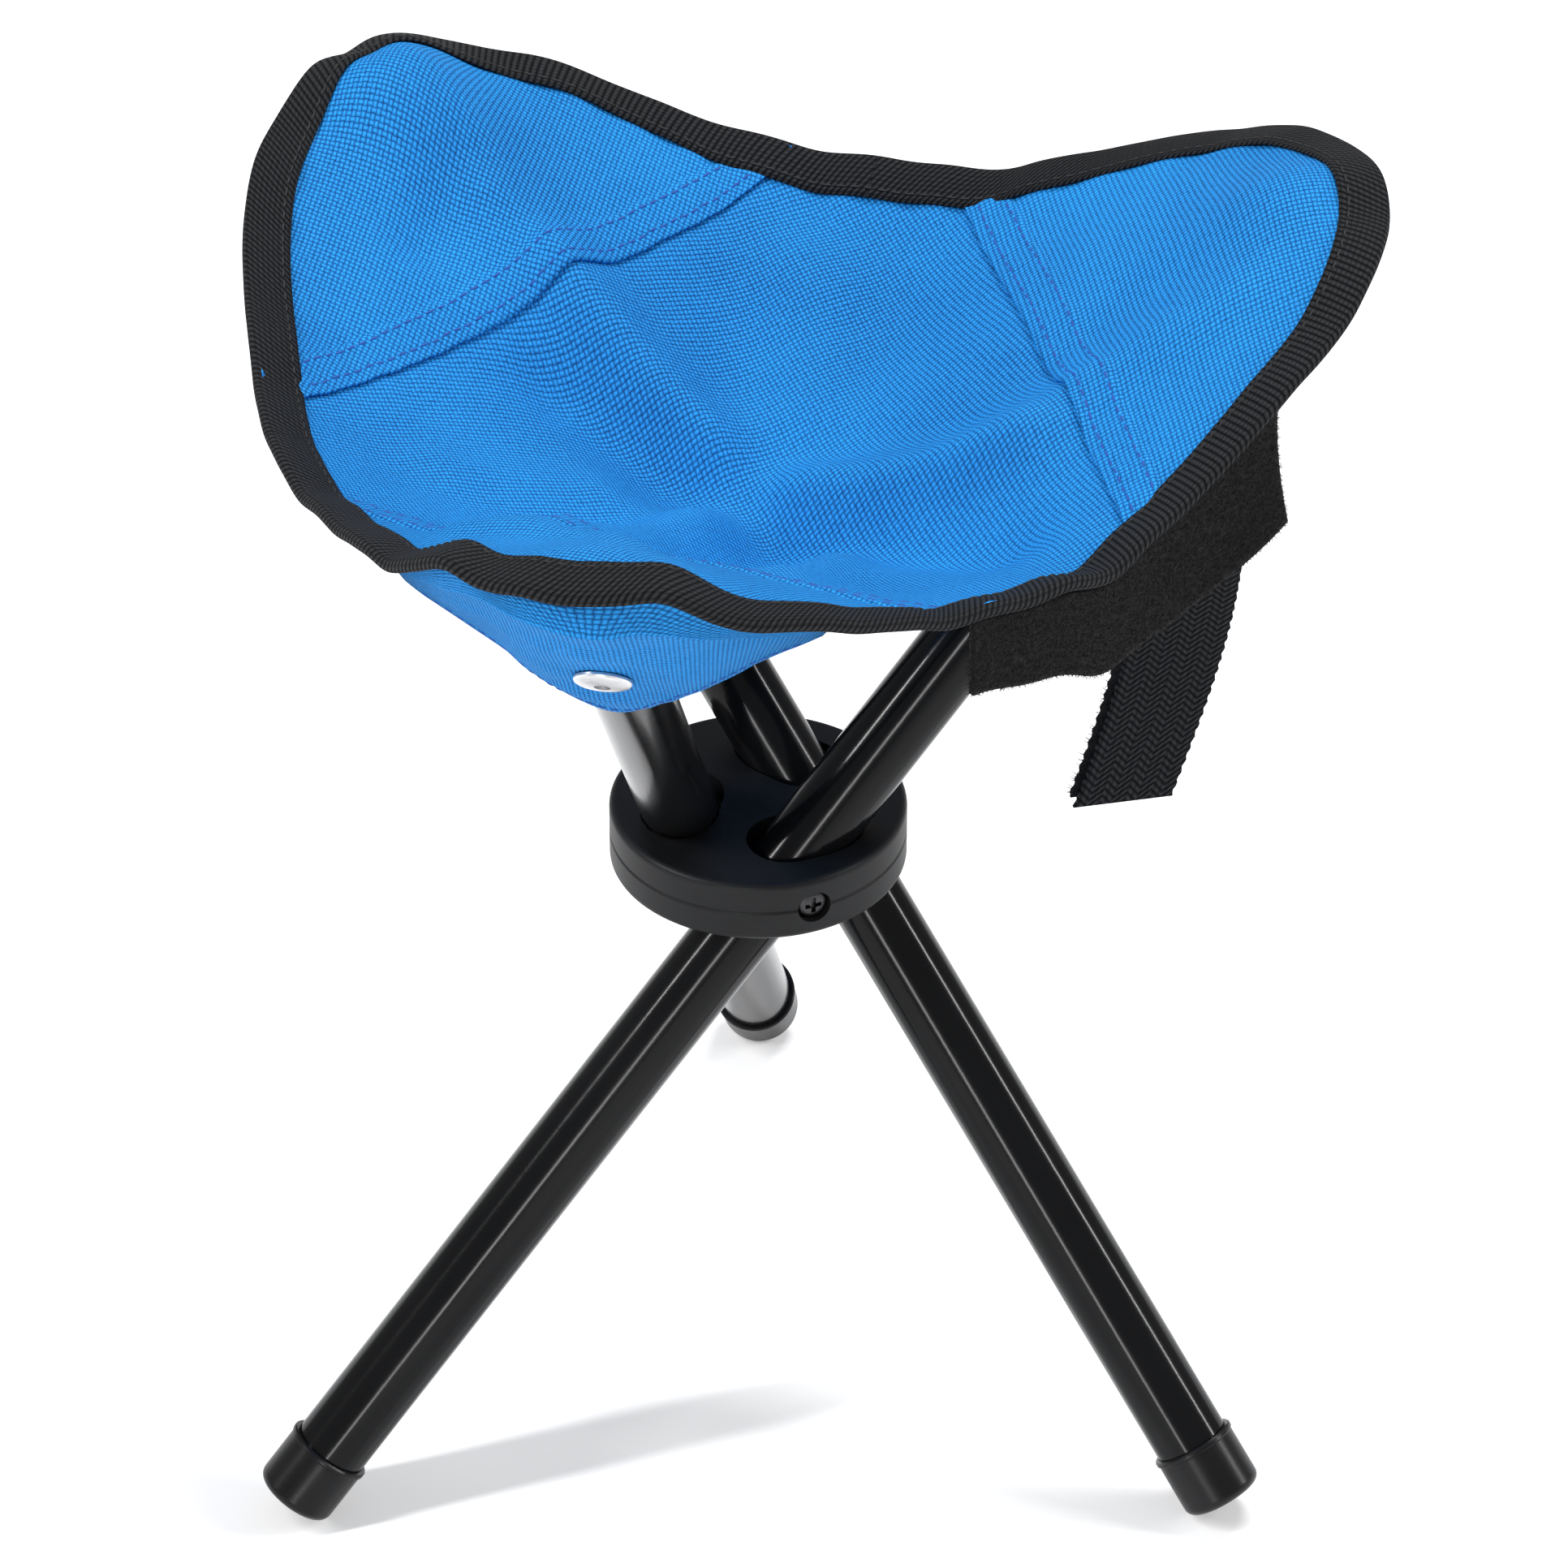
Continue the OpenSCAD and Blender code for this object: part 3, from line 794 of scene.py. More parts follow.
@dataclass(frozen=True)
class Seat:
    """The seat's surface, in millimetres from the hub's axis."""

    frame: Frame = field(default_factory=Frame)
    over: tuple[float, float, float] = (9.5, 16.5, 11.0)
    lift: tuple[float, float, float] = (-1.5, 0.5, -7.5)
    sag: float = 61.0
    inset: tuple[float, float, float] = (22.5, 19.5, 13.0)
    dip: tuple[float, float, float] = (31.0, 31.0, 25.0)
    seam_reach: float = 61.0
    crown: float = 11.0
    over_tube: float = 1.4
    outline_power: float = 1.53
    height_power: float = 1.38
    dish_power: float = 1.6
    fold_gain: float = 2.2
    waves: tuple[Wave, ...] = (
        Wave(262.0, 2.6, 3.6),
        Wave(252.0, -1.6, 4.0),
        Wave(240.0, 2.4, 3.2),
        Wave(231.0, -1.4, 3.0),
        Wave(134.0, -2.4, 2.6),
        Wave(9.0, -1.6, 3.0),
        Wave(322.0, -5.0, 7.0),
        Wave(336.0, -2.5, 7.0),
    )
    folds: tuple[Fold, ...] = (
        Fold((-4, 13), (-47, 56), 2.6, 8.0),
        Fold((4, -2), (-50, 30), -2.6, 10.0),
        Fold((2, 9), (62, -10), 2.4, 7.5),
        Fold((6, -6), (56, -38), -2.2, 9.0),
        Fold((40, -3), (108, 8), 1.2, 7.0),
        Fold((52, 14), (100, 24), -0.8, 8.0),
        Fold((-3, 8), (-44, -66), 2.8, 8.0),
        Fold((6, 2), (-16, -62), -2.4, 8.0),
        Fold((20, -16), (4, -60), 1.6, 7.0),
        Fold((10, 20), (12, 76), 1.5, 11.0),
        Fold((-50, 56), (-84, 92), 1.5, 8.0),
        Fold((-70, 40), (-58, 70), -1.3, 7.0),
        Fold((-70, -12), (-24, -2), 1.4, 9.0),
        Fold((-62, -58), (-20, -80), 2.0, 7.0),
    )

    @property
    def top_along(self) -> float:
        """Gives how far a tube's end stands out from its pivot."""
        return self.frame.top_s * math.sin(math.radians(self.frame.splay))

    @property
    def top_r(self) -> float:
        """Gives the tube ends' distance from the axis."""
        return math.hypot(self.frame.leg_offset, self.top_along)

    @property
    def top_z(self) -> float:
        """Gives the height of the tube ends' upper edges."""
        return float(self.frame.leg_point(0, 0, -self.frame.tube_r, self.frame.top_s)[2])

    def corner_angle(self, corner: int) -> float:
        """Gives the plan angle of a corner."""
        aside = math.degrees(math.atan2(self.top_along, self.frame.leg_offset))
        return self.frame.leg_angle(corner) + aside

    def nearest(self, angle: np.ndarray) -> tuple[np.ndarray, np.ndarray]:
        """Finds the nearest corner.

        Args:
            angle: Plan angles in degrees.

        Returns:
            The corner's number and the angle off it.
        """
        away = np.stack([(angle - self.corner_angle(c) + 180) % 360 - 180 for c in CORNERS])
        which = np.argmin(np.abs(away), axis=0)
        return which, np.take_along_axis(away, which[None], axis=0)[0]

    def rim(self, angle: np.ndarray) -> tuple[np.ndarray, np.ndarray, np.ndarray]:
        """Gives the outline.

        Args:
            angle: Plan angles in degrees.

        Returns:
            Its distance from the axis, its height and the share of the corner.
        """
        which, off = self.nearest(angle)
        edge = (which + np.where(off >= 0, 0, 2)) % 3
        share = (1 + np.cos(np.radians(3 * off))) / 2
        inset, dip = np.take(self.inset, edge), np.take(self.dip, edge)
        fuller = (np.take(self.over, which) + inset) * share**self.outline_power
        higher = (np.take(self.lift, which) + dip) * share**self.height_power
        out = self.top_r - inset + fuller
        high = self.top_z - dip + higher
        return out, high, share

    def plain(self, x: np.ndarray, y: np.ndarray) -> np.ndarray:
        """Gives the cloth's height with no humps, folds or puckers."""
        out, high, share = self.rim(np.degrees(np.arctan2(y, x)))
        q = np.hypot(x, y) / out
        dish = share * q * q * (3 - 2 * q) + (1 - share) * q**self.dish_power
        low = self.top_z - self.sag
        return low + (high - low) * dish

    def tube_end(self, corner: int) -> np.ndarray:
        """Gives the upper edge of a tube's end."""
        return self.frame.leg_point(corner, 0, -self.frame.tube_r, self.frame.top_s)

    def base(self, x: np.ndarray, y: np.ndarray) -> np.ndarray:
        """Gives the cloth's height over the tube ends, with no folds."""
        z = self.plain(x, y)
        for corner in CORNERS:
            px, py, pz = self.tube_end(corner)
            lift = pz + self.over_tube - float(self.plain(np.array([px]), np.array([py]))[0])
            z = z + lift * np.exp(-((x - px) ** 2 + (y - py) ** 2) / (2 * self.crown**2))
        return z

    def ripple(self, angle: np.ndarray) -> np.ndarray:
        """Gives how the edge waves up and down round the outline."""
        slow, quick = np.radians(angle * 17), np.radians(angle * 29 + 40)
        rise = 0.35 * np.sin(slow) + 0.3 * np.sin(quick)
        for wave in self.waves:
            rise = rise + wave.lift(angle)
        return rise

    def cloth(self, x: np.ndarray, y: np.ndarray) -> np.ndarray:
        """Gives the height of the finished cloth."""
        angle = np.degrees(np.arctan2(y, x))
        out, _, _ = self.rim(angle)
        from_edge = out - np.hypot(x, y)
        inner = smoothstep((from_edge - 8) / 22)
        slack = np.ones_like(x)
        for corner in CORNERS:
            px, py, _ = self.tube_end(corner)
            slack = slack * (1 - 0.85 * np.exp(-((x - px) ** 2 + (y - py) ** 2) / 18**2))
        z = self.base(x, y)
        z = z + self.fold_gain * sum(fold.lift(x, y) for fold in self.folds) * inner * slack
        flat = np.stack([x, y, np.zeros_like(x)], axis=-1)
        z = z + (0.9 * wander(flat, 22, 3.1) + 0.35 * wander(flat, 8, 7.7)) * inner * slack
        near = np.exp(-np.clip(from_edge - 9, 0, None) / 5)
        z = z + self.ripple(angle) * np.exp(-np.clip(from_edge - 8, 0, None) / 9)
        return z + 0.3 * np.sin(np.radians(angle * 52)) * near * slack

    def seam_axis(self, x: np.ndarray, y: np.ndarray, corner: int) -> np.ndarray:
        """Gives how far points lie beyond a corner's seam."""
        a = math.radians(self.corner_angle(corner))
        return x * math.cos(a) + y * math.sin(a) - self.seam_reach

    def pucker(self, x: np.ndarray, y: np.ndarray, corner: int) -> np.ndarray:
        """Gives the small pulls of the stitching along a seam."""
        a = math.radians(self.corner_angle(corner))
        along = -x * math.sin(a) + y * math.cos(a)
        away = np.abs(self.seam_axis(x, y, corner) - 2.0)
        return 0.2 * np.sin(along * 0.8 + 0.9 * np.sin(along * 0.17)) * np.exp(-away / 5)

    def near_edge(self, angle: np.ndarray, back: float) -> np.ndarray:
        """Gives points of the cloth a little way in from the outline.

        Args:
            angle: Plan angles in degrees.
            back: How far in.

        Returns:
            The points.
        """
        out, _, _ = self.rim(angle)
        x, y = (out - back) * np.cos(np.radians(angle)), (out - back) * np.sin(np.radians(angle))
        return np.stack([x, y, self.base(x, y) + self.ripple(angle)], axis=-1)

    def outline_frame(self, angle: np.ndarray) -> tuple[np.ndarray, np.ndarray, np.ndarray]:
        """Gives the outline's points and, at each, the outward and square directions."""
        edge, inner = self.near_edge(angle, 0.0), self.near_edge(angle, 9.0)
        outward = edge - inner
        outward /= np.linalg.norm(outward, axis=-1, keepdims=True)
        tangent = np.gradient(edge, axis=0)
        square = np.cross(outward, tangent)
        square /= np.linalg.norm(square, axis=-1, keepdims=True)
        return edge, outward, square


# ---- Sub-assemblies ----


@dataclass
class Assembly:
    """What every sub-assembly shares."""

    wardrobe: Wardrobe
    seat: Seat
    pieces: list[str] = field(default_factory=list)
    bend_from: float = 60.8
    bend_to: float = 104.0

    def keep(
        self, piece: bpy.types.Object, finish: Finish, slot: str, body: str | None
    ) -> bpy.types.Object:
        """Dresses a new piece and ties it to its body.

        Args:
            piece: The finished mesh.
            finish: Its finish.
            slot: The record's material slot; not used.
            body: The body it rides on; None to leave it unattached.

        Returns:
            The same piece.
        """
        self.wardrobe.dress(piece, finish)
        if body:
            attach(piece, body)
        self.pieces.append(piece.name)
        return piece

    def bend(self, piece: bpy.types.Object, corner: int) -> None:
        """Works out a corner's seam points, which are not used, and bakes the piece's transform
        into its mesh.
        """
        a = math.radians(self.seat.corner_angle(corner))
        start, end = (
            tuple(self.seat.frame.world(np.array([r * math.cos(a), r * math.sin(a), 250.0])))
            for r in (self.bend_from, self.bend_to)
        )
        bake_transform(piece)

    def report(self) -> None:
        """Logs the pieces made."""
        LOG.info("%s: %s", type(self).__name__, ", ".join(self.pieces))


@dataclass
class LegSet(Assembly):
    """The hub, legs, caps, plugs, screws, nuts and rivets of the CAD frame."""

    finishes: tuple[tuple[str, Finish], ...] = (
        ("hub_disc", Finish.HUB),
        ("leg_tube", Finish.LACQUER),
        ("foot_cap", Finish.CAP),
        ("top_plug", Finish.CAP),
        ("pivot_screw", Finish.SCREW),
        ("pivot_nut", Finish.STEEL),
        ("leg_rivet", Finish.RIVET),
    )

    def build(self, nodes: dict[str, bpy.types.Object]) -> None:
        """Puts a finish on each CAD node that stays, from the nodes by name."""
        for name, node in nodes.items():
            for start, finish in self.finishes:
                if name.startswith(start):
                    self.wardrobe.dress(node, finish)
                    self.pieces.append(name)


@dataclass
class SeatCloth(Assembly):
    """The centre panel and the three corner panels with their seams."""

    thick: float = 0.9
    tuck: float = 1.2
    lap: float = 7.0
    lap_high: float = 0.8
    sewn_at: tuple[float, float] = (1.2, 6.2)
    centre_grain: float = 24.0
    corner_grains: tuple[float, float, float] = (62.0, 100.0, -14.0)
    stitches: Repeater | None = None

    def surface(self, x: np.ndarray, y: np.ndarray, corner: int | None) -> np.ndarray:
        """Gives points of the cloth.

        Args:
            x: Plan places.
            y: Plan places.
            corner: The corner of a corner panel, or None for the centre.

        Returns:
            The points, in millimetres from the hub's axis.
        """
        z = self.seat.cloth(x, y)
        for other in CORNERS:
            beyond = self.seat.seam_axis(x, y, other)
            pull = self.seat.pucker(x, y, other)
            z = z + pull * smoothstep((beyond + 14) / 8)
            if corner is None:
                z = z - 0.5 * smoothstep((beyond + 2.5) / 2.5)
        if corner is not None:
            beyond = self.seat.seam_axis(x, y, corner)
            z = z + self.lap_high * (1 - smoothstep((beyond - self.lap) / 1.2))
        return np.stack([x, y, z], axis=-1)

    def weave_map(self, points: np.ndarray, turn: float) -> np.ndarray:
        """Lays the weave's map on a panel, turned to its grain in degrees."""
        a = math.radians(turn)
        x, y = points[..., 0] * MM, points[..., 1] * MM
        return np.stack([x * math.cos(a) + y * math.sin(a), y * math.cos(a) - x * math.sin(a)], -1)

    def centre(self) -> None:
        """Builds the centre panel."""
        rows, cols = 64, 360
        angle = np.arange(cols) * 360.0 / cols
        _, off = self.seat.nearest(angle)
        seam = (self.seat.seam_reach + 3.6) / np.cos(np.radians(off))
        out, _, _ = self.seat.rim(angle)
        reach = np.minimum(seam, out - self.tuck)
        share = np.linspace(0.0, 1.0, rows + 1)[1:, None]
        r = share * reach[None, :]
        x, y = r * np.cos(np.radians(angle)), r * np.sin(np.radians(angle))
        ring = self.surface(x, y, None)
        middle = self.surface(np.zeros(1), np.zeros(1), None)
        points = np.concatenate([ring.reshape(-1, 3), middle])
        hub = rows * cols
        faces: list[Sequence[int]] = list(grid_faces(rows, cols, True))
        faces += [(hub, j, (j + 1) % cols) for j in range(cols)]
        weave = self.weave_map(points, self.centre_grain)
        piece = new_piece("centre_cloth", self.seat.frame.world(points), faces, weave)
        self.keep(thickened(piece, self.thick * MM), Finish.CLOTH, "blue_cloth", "hub")
        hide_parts("seat_centre_panel")

    def corner(self, corner: int) -> None:
        """Builds one corner panel and its stitches."""
        rows, cols = 64, 150
        a0 = self.seat.corner_angle(corner)
        side = np.linspace(0.1 - HALF_STEP, HALF_STEP - 0.1, 4001)
        out, _, _ = self.seat.rim(a0 + side)
        reach = (out - self.tuck) * np.cos(np.radians(side))
        beyond_seam = side[reach > self.seat.seam_reach + 0.2]
        angle = a0 + np.linspace(beyond_seam.min(), beyond_seam.max(), cols)
        out, _, _ = self.seat.rim(angle)
        near = (self.seat.seam_reach - 1.0) / np.cos(np.radians(angle - a0))
        far = out - self.tuck
        share = np.linspace(0.0, 1.0, rows)[:, None]
        r = near + (far - near) * share
        x, y = r * np.cos(np.radians(angle)), r * np.sin(np.radians(angle))
        points = self.surface(x, y, corner)
        piece = new_piece(
            f"corner_cloth_{corner + 1}",
            self.seat.frame.world(points),
            grid_faces(rows, cols, False),
            self.weave_map(points, self.corner_grains[corner]),
        )
        self.keep(thickened(piece, self.thick * MM), Finish.CLOTH, "blue_cloth", None)
        self.bend(piece, corner)
        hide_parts(f"seat_corner_panel_{corner + 1}")
        self.sew(corner, angle, out)

    def sew(self, corner: int, angle: np.ndarray, out: np.ndarray) -> None:
        """Sews a seam's two lines, given the panel's angles and the outline there."""
        a0 = self.seat.corner_angle(corner)
        lines = []
        for beyond in self.sewn_at:
            r = (self.seat.seam_reach + beyond) / np.cos(np.radians(angle - a0))
            inside = r < out - 10.8  # Short of the edge tape
            turn = np.radians(angle[inside])
            line = self.surface(r[inside] * np.cos(turn), r[inside] * np.sin(turn), corner)
            line[:, 2] += self.thick / 2 + 0.02
            lines.append(line)
        path = path_piece(f"seam_stitches_{corner + 1}", lines, self.seat.frame)
        sewn = self.keep(self.stitches.run(path), Finish.BLUE_THREAD, "blue_cloth", None)
        self.bend(sewn, corner)

    def build(self) -> None:
        """Builds the four panels."""
        self.stitches = stitch_tree("seam_sewing", self.wardrobe[Finish.BLUE_THREAD])
        self.centre()
        for corner in CORNERS:
            self.corner(corner)


def path_piece(name: str, lines: Sequence[np.ndarray], frame: Frame) -> bpy.types.Object:
    """Makes a mesh of loose edges that Geometry Nodes can follow.

    Args:
        name: The piece's name.
        lines: Lines of points, in millimetres from the hub's axis.
        frame: The CAD frame's sizes.

    Returns:
        The path.
    """
    edges, count = [], 0
    for line in lines:
        edges += [(count + k, count + k + 1) for k in range(len(line) - 1)]
        count += len(line)
    return new_piece(name, frame.world(np.concatenate(lines)), [], edges=edges)


@dataclass
class EdgeTape(Assembly):
    """The folded tape that binds the seat's edge, in one length for each corner."""

    wide: float = 10.0
    thick: float = 0.9
    gap: float = 0.5
    stitches: Repeater | None = None

    def profile(self) -> np.ndarray:
        """Gives the tape's section: outward and square offsets, as a closed loop."""
        inner, outer = self.gap, self.gap + self.thick
        side, middle = -self.wide, (inner + outer) / 2
        upper = [(side, inner), (side - 0.25, middle), (side + 0.1, outer)]
        upper += [(side * k, outer + 0.32 * math.sin(math.pi * k)) for k in (0.8, 0.6, 0.4, 0.2)]
        turns = np.radians([75, 45, 15, -15, -45, -75])
        bend = [(outer * 0.75 * math.cos(t) - 0.6, outer * math.sin(t)) for t in turns]
        lower = [(x, -z) for x, z in reversed(upper)]
        inside = [(-0.9, -inner), (-0.5, 0.0), (-0.9, inner)]
        return np.array(upper + bend + lower + inside)

    def segment(self, corner: int) -> None:
        """Builds the tape round one corner, with its stitches."""
        cols = 260
        side = np.linspace(-HALF_STEP, HALF_STEP, cols)
        angle = self.seat.corner_angle(corner) + side
        wider = np.concatenate([[angle[0] - 0.4], angle, [angle[-1] + 0.4]])
        edge, outward, square = (part[1:-1] for part in self.seat.outline_frame(wider))
        section = self.profile()
        drift = 0.25 * wander(edge, 9, 1.3)
        points = (
            edge[:, None]
            + outward[:, None] * section[None, :, :1]
            + square[:, None] * (section[None, :, 1:] + drift[:, None, None])
        )
        count = len(section)
        faces: list[Sequence[int]] = list(grid_faces(cols, count, True))
        faces.append(tuple(range(count))[::-1])
        faces.append(tuple((cols - 1) * count + j for j in range(count)))
        along, around = travelled(edge), travelled(section)
        weave = np.stack(np.broadcast_arrays(around[None, :], along[:, None]), -1) * MM
        piece = new_piece(f"edge_tape_{corner + 1}", self.seat.frame.world(points), faces, weave)
        outward_faces(piece)
        self.keep(piece, Finish.TAPE, "black_tape", None)
        self.bend(piece, corner)
        if corner == 0:
            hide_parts("edge_binding")
        lines = []
        for side in (1, -1):
            offset = side * (self.gap + self.thick + 0.22)
            lines.append(edge + outward * (1.7 - self.wide) + square * (offset + drift[:, None]))
        sewn = self.stitches.run(
            path_piece(f"tape_stitches_{corner + 1}", lines, self.seat.frame),
            Thread=0.24 * MM,
        )
        self.keep(sewn, Finish.BLACK_THREAD, "black_tape", None)
        self.bend(sewn, corner)

    def build(self) -> None:
        """Builds the tape round the three corners."""
        self.stitches = stitch_tree("tape_sewing", self.wardrobe[Finish.BLACK_THREAD])
        for corner in CORNERS:
            self.segment(corner)


def outward_faces(piece: bpy.types.Object) -> None:
    """Turns a closed mesh's faces outward."""
    work = bmesh.new()
    work.from_mesh(piece.data)
    bmesh.ops.recalc_face_normals(work, faces=work.faces)
    work.to_mesh(piece.data)
    work.free()
    piece.data.update()


@dataclass
class Pockets(Assembly):
    """The corner pockets that hold the tubes' ends and carry the rivets."""

    thick: float = 0.9
    span: float = 24.0
    wide: float = 44.0
    long: float = 52.0
    knee: float = 0.2
    off_tube: float = 8.9
    inset: float = 3.5
    stitches: Repeater | None = None

    def surface(self, corner: int, down: np.ndarray, across: np.ndarray) -> np.ndarray:
        """Gives points of a pocket.

        Args:
            corner: The corner.
            down: 0 at the edge tape and 1 at the tip.
            across: -1 to 1 from one end to the other.

        Returns:
            The points, in millimetres from the hub's axis.
        """
        seat, frame, knee = self.seat, self.seat.frame, self.knee
        angle = seat.corner_angle(corner) + self.span * across
        lip = seat.near_edge(angle, self.inset) - [0, 0, 2.0]
        ease = (1 - across**2)[..., None]
        share = down[..., None]
        tent = np.where(share < knee, share / knee, (1 - share) / (1 - knee))
        spread = -self.wide / 2 * across
        bend = frame.leg_point(corner, spread, self.off_tube, frame.top_s + 2)
        foot = frame.leg_point(corner, spread, self.off_tube, frame.top_s - self.long)
        fall = foot - lip
        points = lip + fall * share * ease + (bend - lip - fall * knee) * tent * ease**2
        wave = 1.1 * wander(points, 17, 5.0 + corner) + 0.4 * wander(points, 6, 2.0)
        rivet = frame.leg_point(corner, 0, self.off_tube, frame.rivet_s)
        far = np.linalg.norm(points - rivet, axis=-1)
        wave = wave + 0.9 * np.exp(-(((far - 15) / 6) ** 2)) - 0.35 * np.exp(-((far / 8) ** 2))
        free = smoothstep(down / 0.15) * smoothstep((1 - np.abs(across)) / 0.25)
        return points + frame.under(corner) * (np.clip(wave, -0.2, None) * free)[..., None]

    def pocket(self, corner: int) -> None:
        """Builds one pocket with the stitches along its edge."""
        rows, cols, margin = 56, 110, 0.03
        down = np.linspace(0, 1, rows)[:, None] * np.ones((1, cols))
        across = np.ones((rows, 1)) * np.linspace(-1 + margin, 1 - margin, cols)[None]
        points = self.surface(corner, down, across)
        u, v = travelled(points[rows // 4]), travelled(points[:, cols // 2])
        weave = np.stack(np.broadcast_arrays(u[None, :], v[:, None]), -1) * MM
        frame, leg = self.seat.frame, f"leg_{corner + 1}"
        faces = grid_faces(rows, cols, False)
        piece = new_piece(f"pocket_cloth_{corner + 1}", frame.world(points), faces, weave)
        self.keep(thickened(piece, self.thick * MM), Finish.CLOTH, "blue_cloth", leg)
        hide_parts(f"corner_pocket_{corner + 1}")
        side = np.linspace(-0.9, 0.9, 160)
        low = 1 - 1.6 / (self.long * (1 - side**2))
        outer = self.surface(corner, low, side)
        inner = self.surface(corner, low - 0.004, side)
        line = (outer + inner) / 2 + frame.under(corner) * (self.thick / 2 + 0.05)
        path = path_piece(f"pocket_stitches_{corner + 1}", [line], frame)
        sewn = self.stitches.run(path, Pitch=2.6 * MM, Length=2.0 * MM, Thread=0.24 * MM)
        self.keep(sewn, Finish.BLUE_THREAD, "blue_cloth", leg)

    def build(self) -> None:
        """Builds the three pockets."""
        self.stitches = stitch_tree("pocket_sewing", self.wardrobe[Finish.BLUE_THREAD])
        for corner in CORNERS:
            self.pocket(corner)


@dataclass
class Closure(Assembly):
    """The loop tape, the webbing tail and the hook tape behind it."""

    tape_from: float = -17.0
    tape_to: float = 33.0
    tape_inset: float = 2.0
    heights: tuple[float, float] = (17.0, 27.0)
    web_wide: float = 20.0
    web_at: float = 30.0
    web_inset: float = 13.0
    web_under: float = 18.0
    web_drop: tuple[float, float, float] = (-13.0, -5.0, -74.0)
    hooks_shift: float = 1.4

    def tape(self) -> None:
        """Builds the loop tape and the pile that stands on both its faces."""
        rows, cols = 22, 130
        share = np.linspace(0, 1, cols)[None, :] * np.ones((rows, 1))
        down = np.linspace(0, 1, rows)[:, None] * np.ones((1, cols))
        span = self.tape_to - self.tape_from
        angle = self.seat.corner_angle(0) + HALF_STEP + self.tape_from + span * share
        out, _, _ = self.seat.rim(angle)
        curl = 3.0 * smoothstep((share - 0.75) / 0.25) * down**2
        swing = 0.8 * wander(np.stack([angle, down * 10, share], -1), 14, 4.0) * down
        r = out - self.tape_inset + curl + swing
        x, y = r * np.cos(np.radians(angle)), r * np.sin(np.radians(angle))
        tall = self.heights[0] + (self.heights[1] - self.heights[0]) * smoothstep(share)
        z = self.seat.near_edge(angle, self.tape_inset)[..., 2] - 1.9 - tall * down
        points = np.stack([x, y, z], axis=-1)
        weave = np.stack([share * 85, down * 22], -1) * MM
        faces = grid_faces(rows, cols, False)
        piece = new_piece("loop_tape", self.seat.frame.world(points), faces, weave)
        fuzz = twin(piece, "loop_tape_pile")
        self.keep(thickened(piece, 1.3 * MM), Finish.LOOP, "loop_pile", "hub")
        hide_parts("closure_loop_tape")
        thickened(fuzz, 1.2 * MM)
        tree = fuzz_tree("loop_fuzz", self.wardrobe[Finish.LOOP], 11)
        tree.run(fuzz, Density=3.4e6, Height=1.1 * MM, Fibre=0.07 * MM, Lean=1.2)
        self.keep(fuzz, Finish.LOOP, "loop_pile", "hub")

    def hanging(self, down: np.ndarray, across: np.ndarray, back: float) -> np.ndarray:
        """Gives points of the webbing's face.

        Args:
            down: 0 at the seat and 1 at the tail's end.
            across: Millimetres to the right of its middle.
            back: Millimetres behind its face.

        Returns:
            The points, in millimetres from the hub's axis.
        """
        angle = self.seat.corner_angle(0) + HALF_STEP + self.web_at
        out, high, _ = self.seat.rim(np.array([angle]))
        r, a = float(out[0]) - self.web_inset, math.radians(angle)
        top = np.array([r * math.cos(a), r * math.sin(a), float(high[0]) - self.web_under])
        drop = np.array(self.web_drop)
        arch = np.sin(math.pi * down)
        bow = np.stack([4.5 * arch, 6 * arch + back, 0 * down], -1)
        turn = np.radians(8 - 26 * (1 - down) ** 2)
        sideways = np.stack([np.cos(turn), np.sin(turn), 0.05 * np.ones_like(turn)], -1)
        return top + drop * down[..., None] + bow + sideways * across[..., None]

    def strip(
        self, name: str, ends: tuple[float, float], sides: tuple[float, float], back: float
    ) -> bpy.types.Object:
        """Builds one hanging layer between two shares down and two sides across."""
        rows, cols = 110, 18
        down = np.linspace(*ends, rows)[:, None] * np.ones((1, cols))
        across = np.ones((rows, 1)) * np.linspace(*sides, cols)[None]
        across = across + 0.22 * np.sin(down * 190) * np.sign(across) * (np.abs(across) > 8)
        points = self.hanging(down, across, back)
        weave = np.stack([across, down * 90], -1) * MM
        return new_piece(name, self.seat.frame.world(points), grid_faces(rows, cols, False), weave)

    def webbing(self) -> None:
        """Builds the webbing tail and the hook tape sewn behind it."""
        half = self.web_wide / 2
        piece = thickened(self.strip("webbing_tail", (0.0, 1.0), (-half, half), 0.8), 1.5 * MM)
        self.keep(piece, Finish.WEBBING, "black_tape", "hub")
        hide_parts("closure_webbing")
        sides = (-half - self.hooks_shift, half - 3)
        backing = self.strip("hook_tape", (0.28, 0.985), sides, 2.5)
        hooks = twin(backing, "hook_tape_hooks")
        self.keep(thickened(backing, 1.0 * MM), Finish.HOOK, "hook_pile", "hub")
        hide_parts("closure_hook_tape")
        thickened(hooks, 1.0 * MM)
        tree = fuzz_tree("hook_rows", self.wardrobe[Finish.HOOK], 23)
        tree.run(hooks, Density=7.0e5, Height=1.3 * MM, Fibre=0.11 * MM, Lean=0.25)
        self.keep(hooks, Finish.HOOK, "hook_pile", "hub")

    def build(self) -> None:
        """Builds the closure."""
        self.tape()
        self.webbing()


# ---- Studio ----


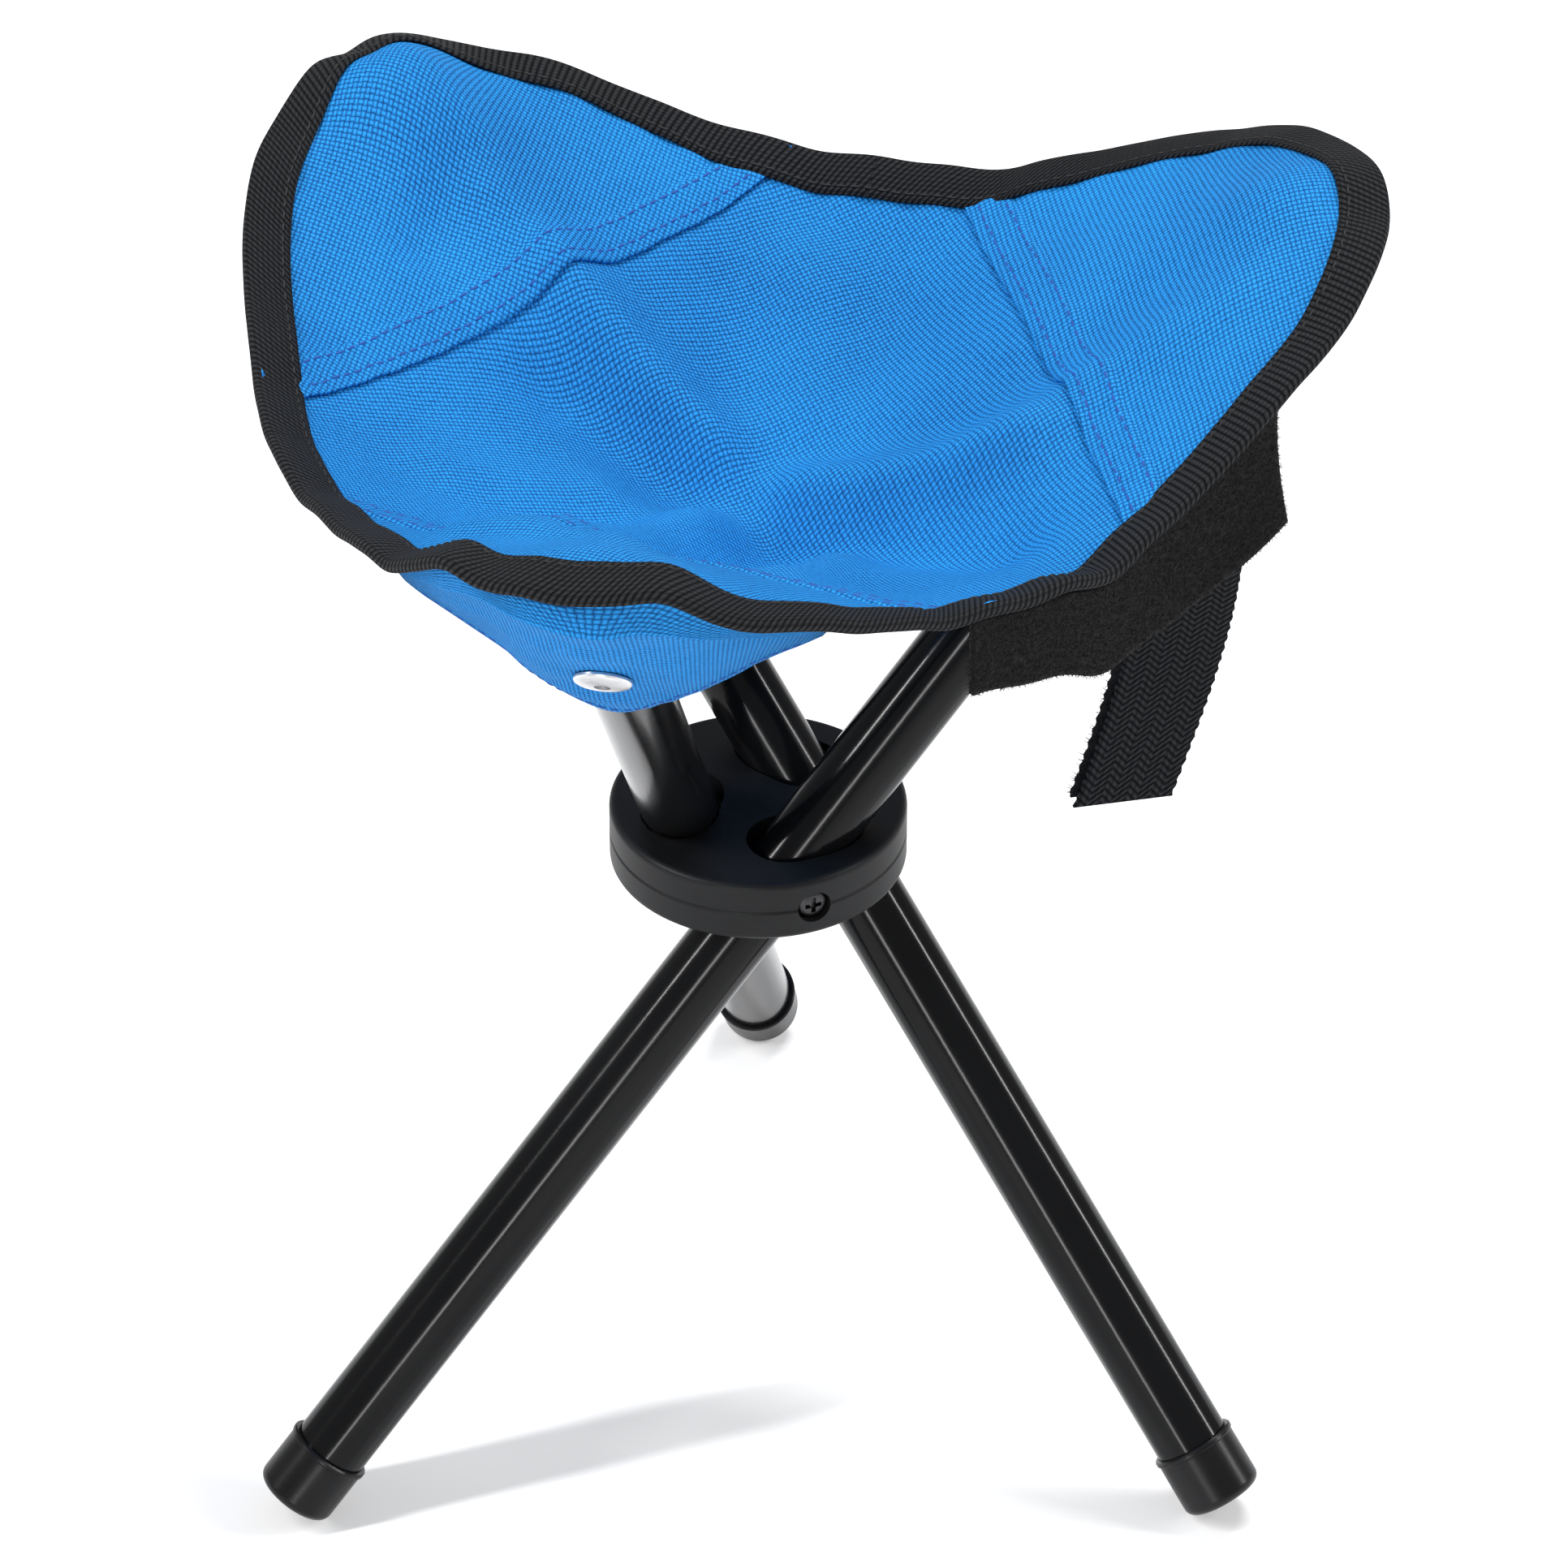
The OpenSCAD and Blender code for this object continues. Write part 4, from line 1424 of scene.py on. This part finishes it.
@dataclass(frozen=True)
class Studio:
    """The floor, the lights and the camera."""

    target: tuple[float, float, float] = (-0.00573, -0.0005, 0.14986)
    raised: float = 35.9
    away: float = 1.697
    lens: float = 187.8
    daylight: float = 0.33

    def floor(self) -> None:
        """Lays a pale floor with a faint mottle."""
        glow = {"Emission_Color": (1.0, 1.0, 1.0, 1.0), "Emission_Strength": 0.22}
        shop = SurfaceShop("studio_floor", Roughness=0.9, **glow)
        soft = shop.grain(3.0, 2.0)
        colour = shop.between(soft, (0.86, 0.86, 0.865), (0.90, 0.90, 0.905))
        shop.surface(colour, None, None, 0.0)
        side = 9.0
        places = ((-side, -side, 0), (side, -side, 0), (side, side, 0), (-side, side, 0))
        corners = np.array(places)
        floor = new_piece("studio_floor", corners - [0, 0, 0.0004], [(0, 1, 2, 3)])
        floor.data.materials.append(shop.material)

    @staticmethod
    def light(name: str, place: Sequence[float], size: tuple[float, float], power: float) -> None:
        """Hangs a soft box that faces the stool.

        Args:
            name: The light's name.
            place: Where it hangs, in metres.
            size: Its width and height.
            power: Its power in watts.
        """
        lamp = bpy.data.lights.new(name, "AREA")
        lamp.shape = "RECTANGLE"
        lamp.size, lamp.size_y = size
        lamp.energy = power
        holder = bpy.data.objects.new(name, lamp)
        holder.location = place
        aim = Vector((0, 0, 0.15)) - Vector(place)
        holder.rotation_euler = aim.to_track_quat("-Z", "Y").to_euler()
        bpy.context.scene.collection.objects.link(holder)

    def build(self) -> None:
        """Builds the studio."""
        scene = bpy.context.scene
        scene.view_settings.view_transform = "Standard"
        self.floor()
        self.light("key", (-1.5, -0.5, 1.6), (0.14, 1.6), 34.0)
        self.light("rim", (1.9, -0.2, 1.2), (0.10, 1.5), 22.0)
        self.light("top", (0.6, 0.9, 2.2), (0.9, 0.5), 30.0)
        self.light("front", (-0.5, -2.0, 0.45), (0.16, 0.9), 9.0)
        world = bpy.data.worlds.new("studio")
        world.use_nodes = True
        backdrop = world.node_tree.nodes["Background"]
        backdrop.inputs["Color"].default_value = (1.0, 1.0, 1.0, 1.0)
        backdrop.inputs["Strength"].default_value = self.daylight
        scene.world = world
        lens = bpy.data.cameras.new("camera")
        lens.lens = self.lens
        lens.sensor_width = 36.0
        lens.clip_end = 50.0
        camera = bpy.data.objects.new("camera", lens)
        rise = math.radians(self.raised)
        back = Vector((0.0, -math.cos(rise), math.sin(rise))) * self.away
        camera.location = Vector(self.target) + back
        camera.rotation_euler = (-back).to_track_quat("-Z", "Y").to_euler()
        scene.collection.objects.link(camera)
        scene.camera = camera


def main() -> None:
    """Builds the stool's looks round its frame."""
    logging.basicConfig(level=logging.INFO, format="%(name)s %(message)s")
    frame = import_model()
    Studio().build()
    wardrobe, seat = Wardrobe(), Seat()
    legs = LegSet(wardrobe, seat)
    legs.build(frame["nodes"])
    legs.report()
    tape = EdgeTape(wardrobe, seat)
    tape.build()
    tape.report()
    for made in (SeatCloth(wardrobe, seat), Pockets(wardrobe, seat), Closure(wardrobe, seat)):
        made.build()
        made.report()


if __name__ == "__main__":
    main()
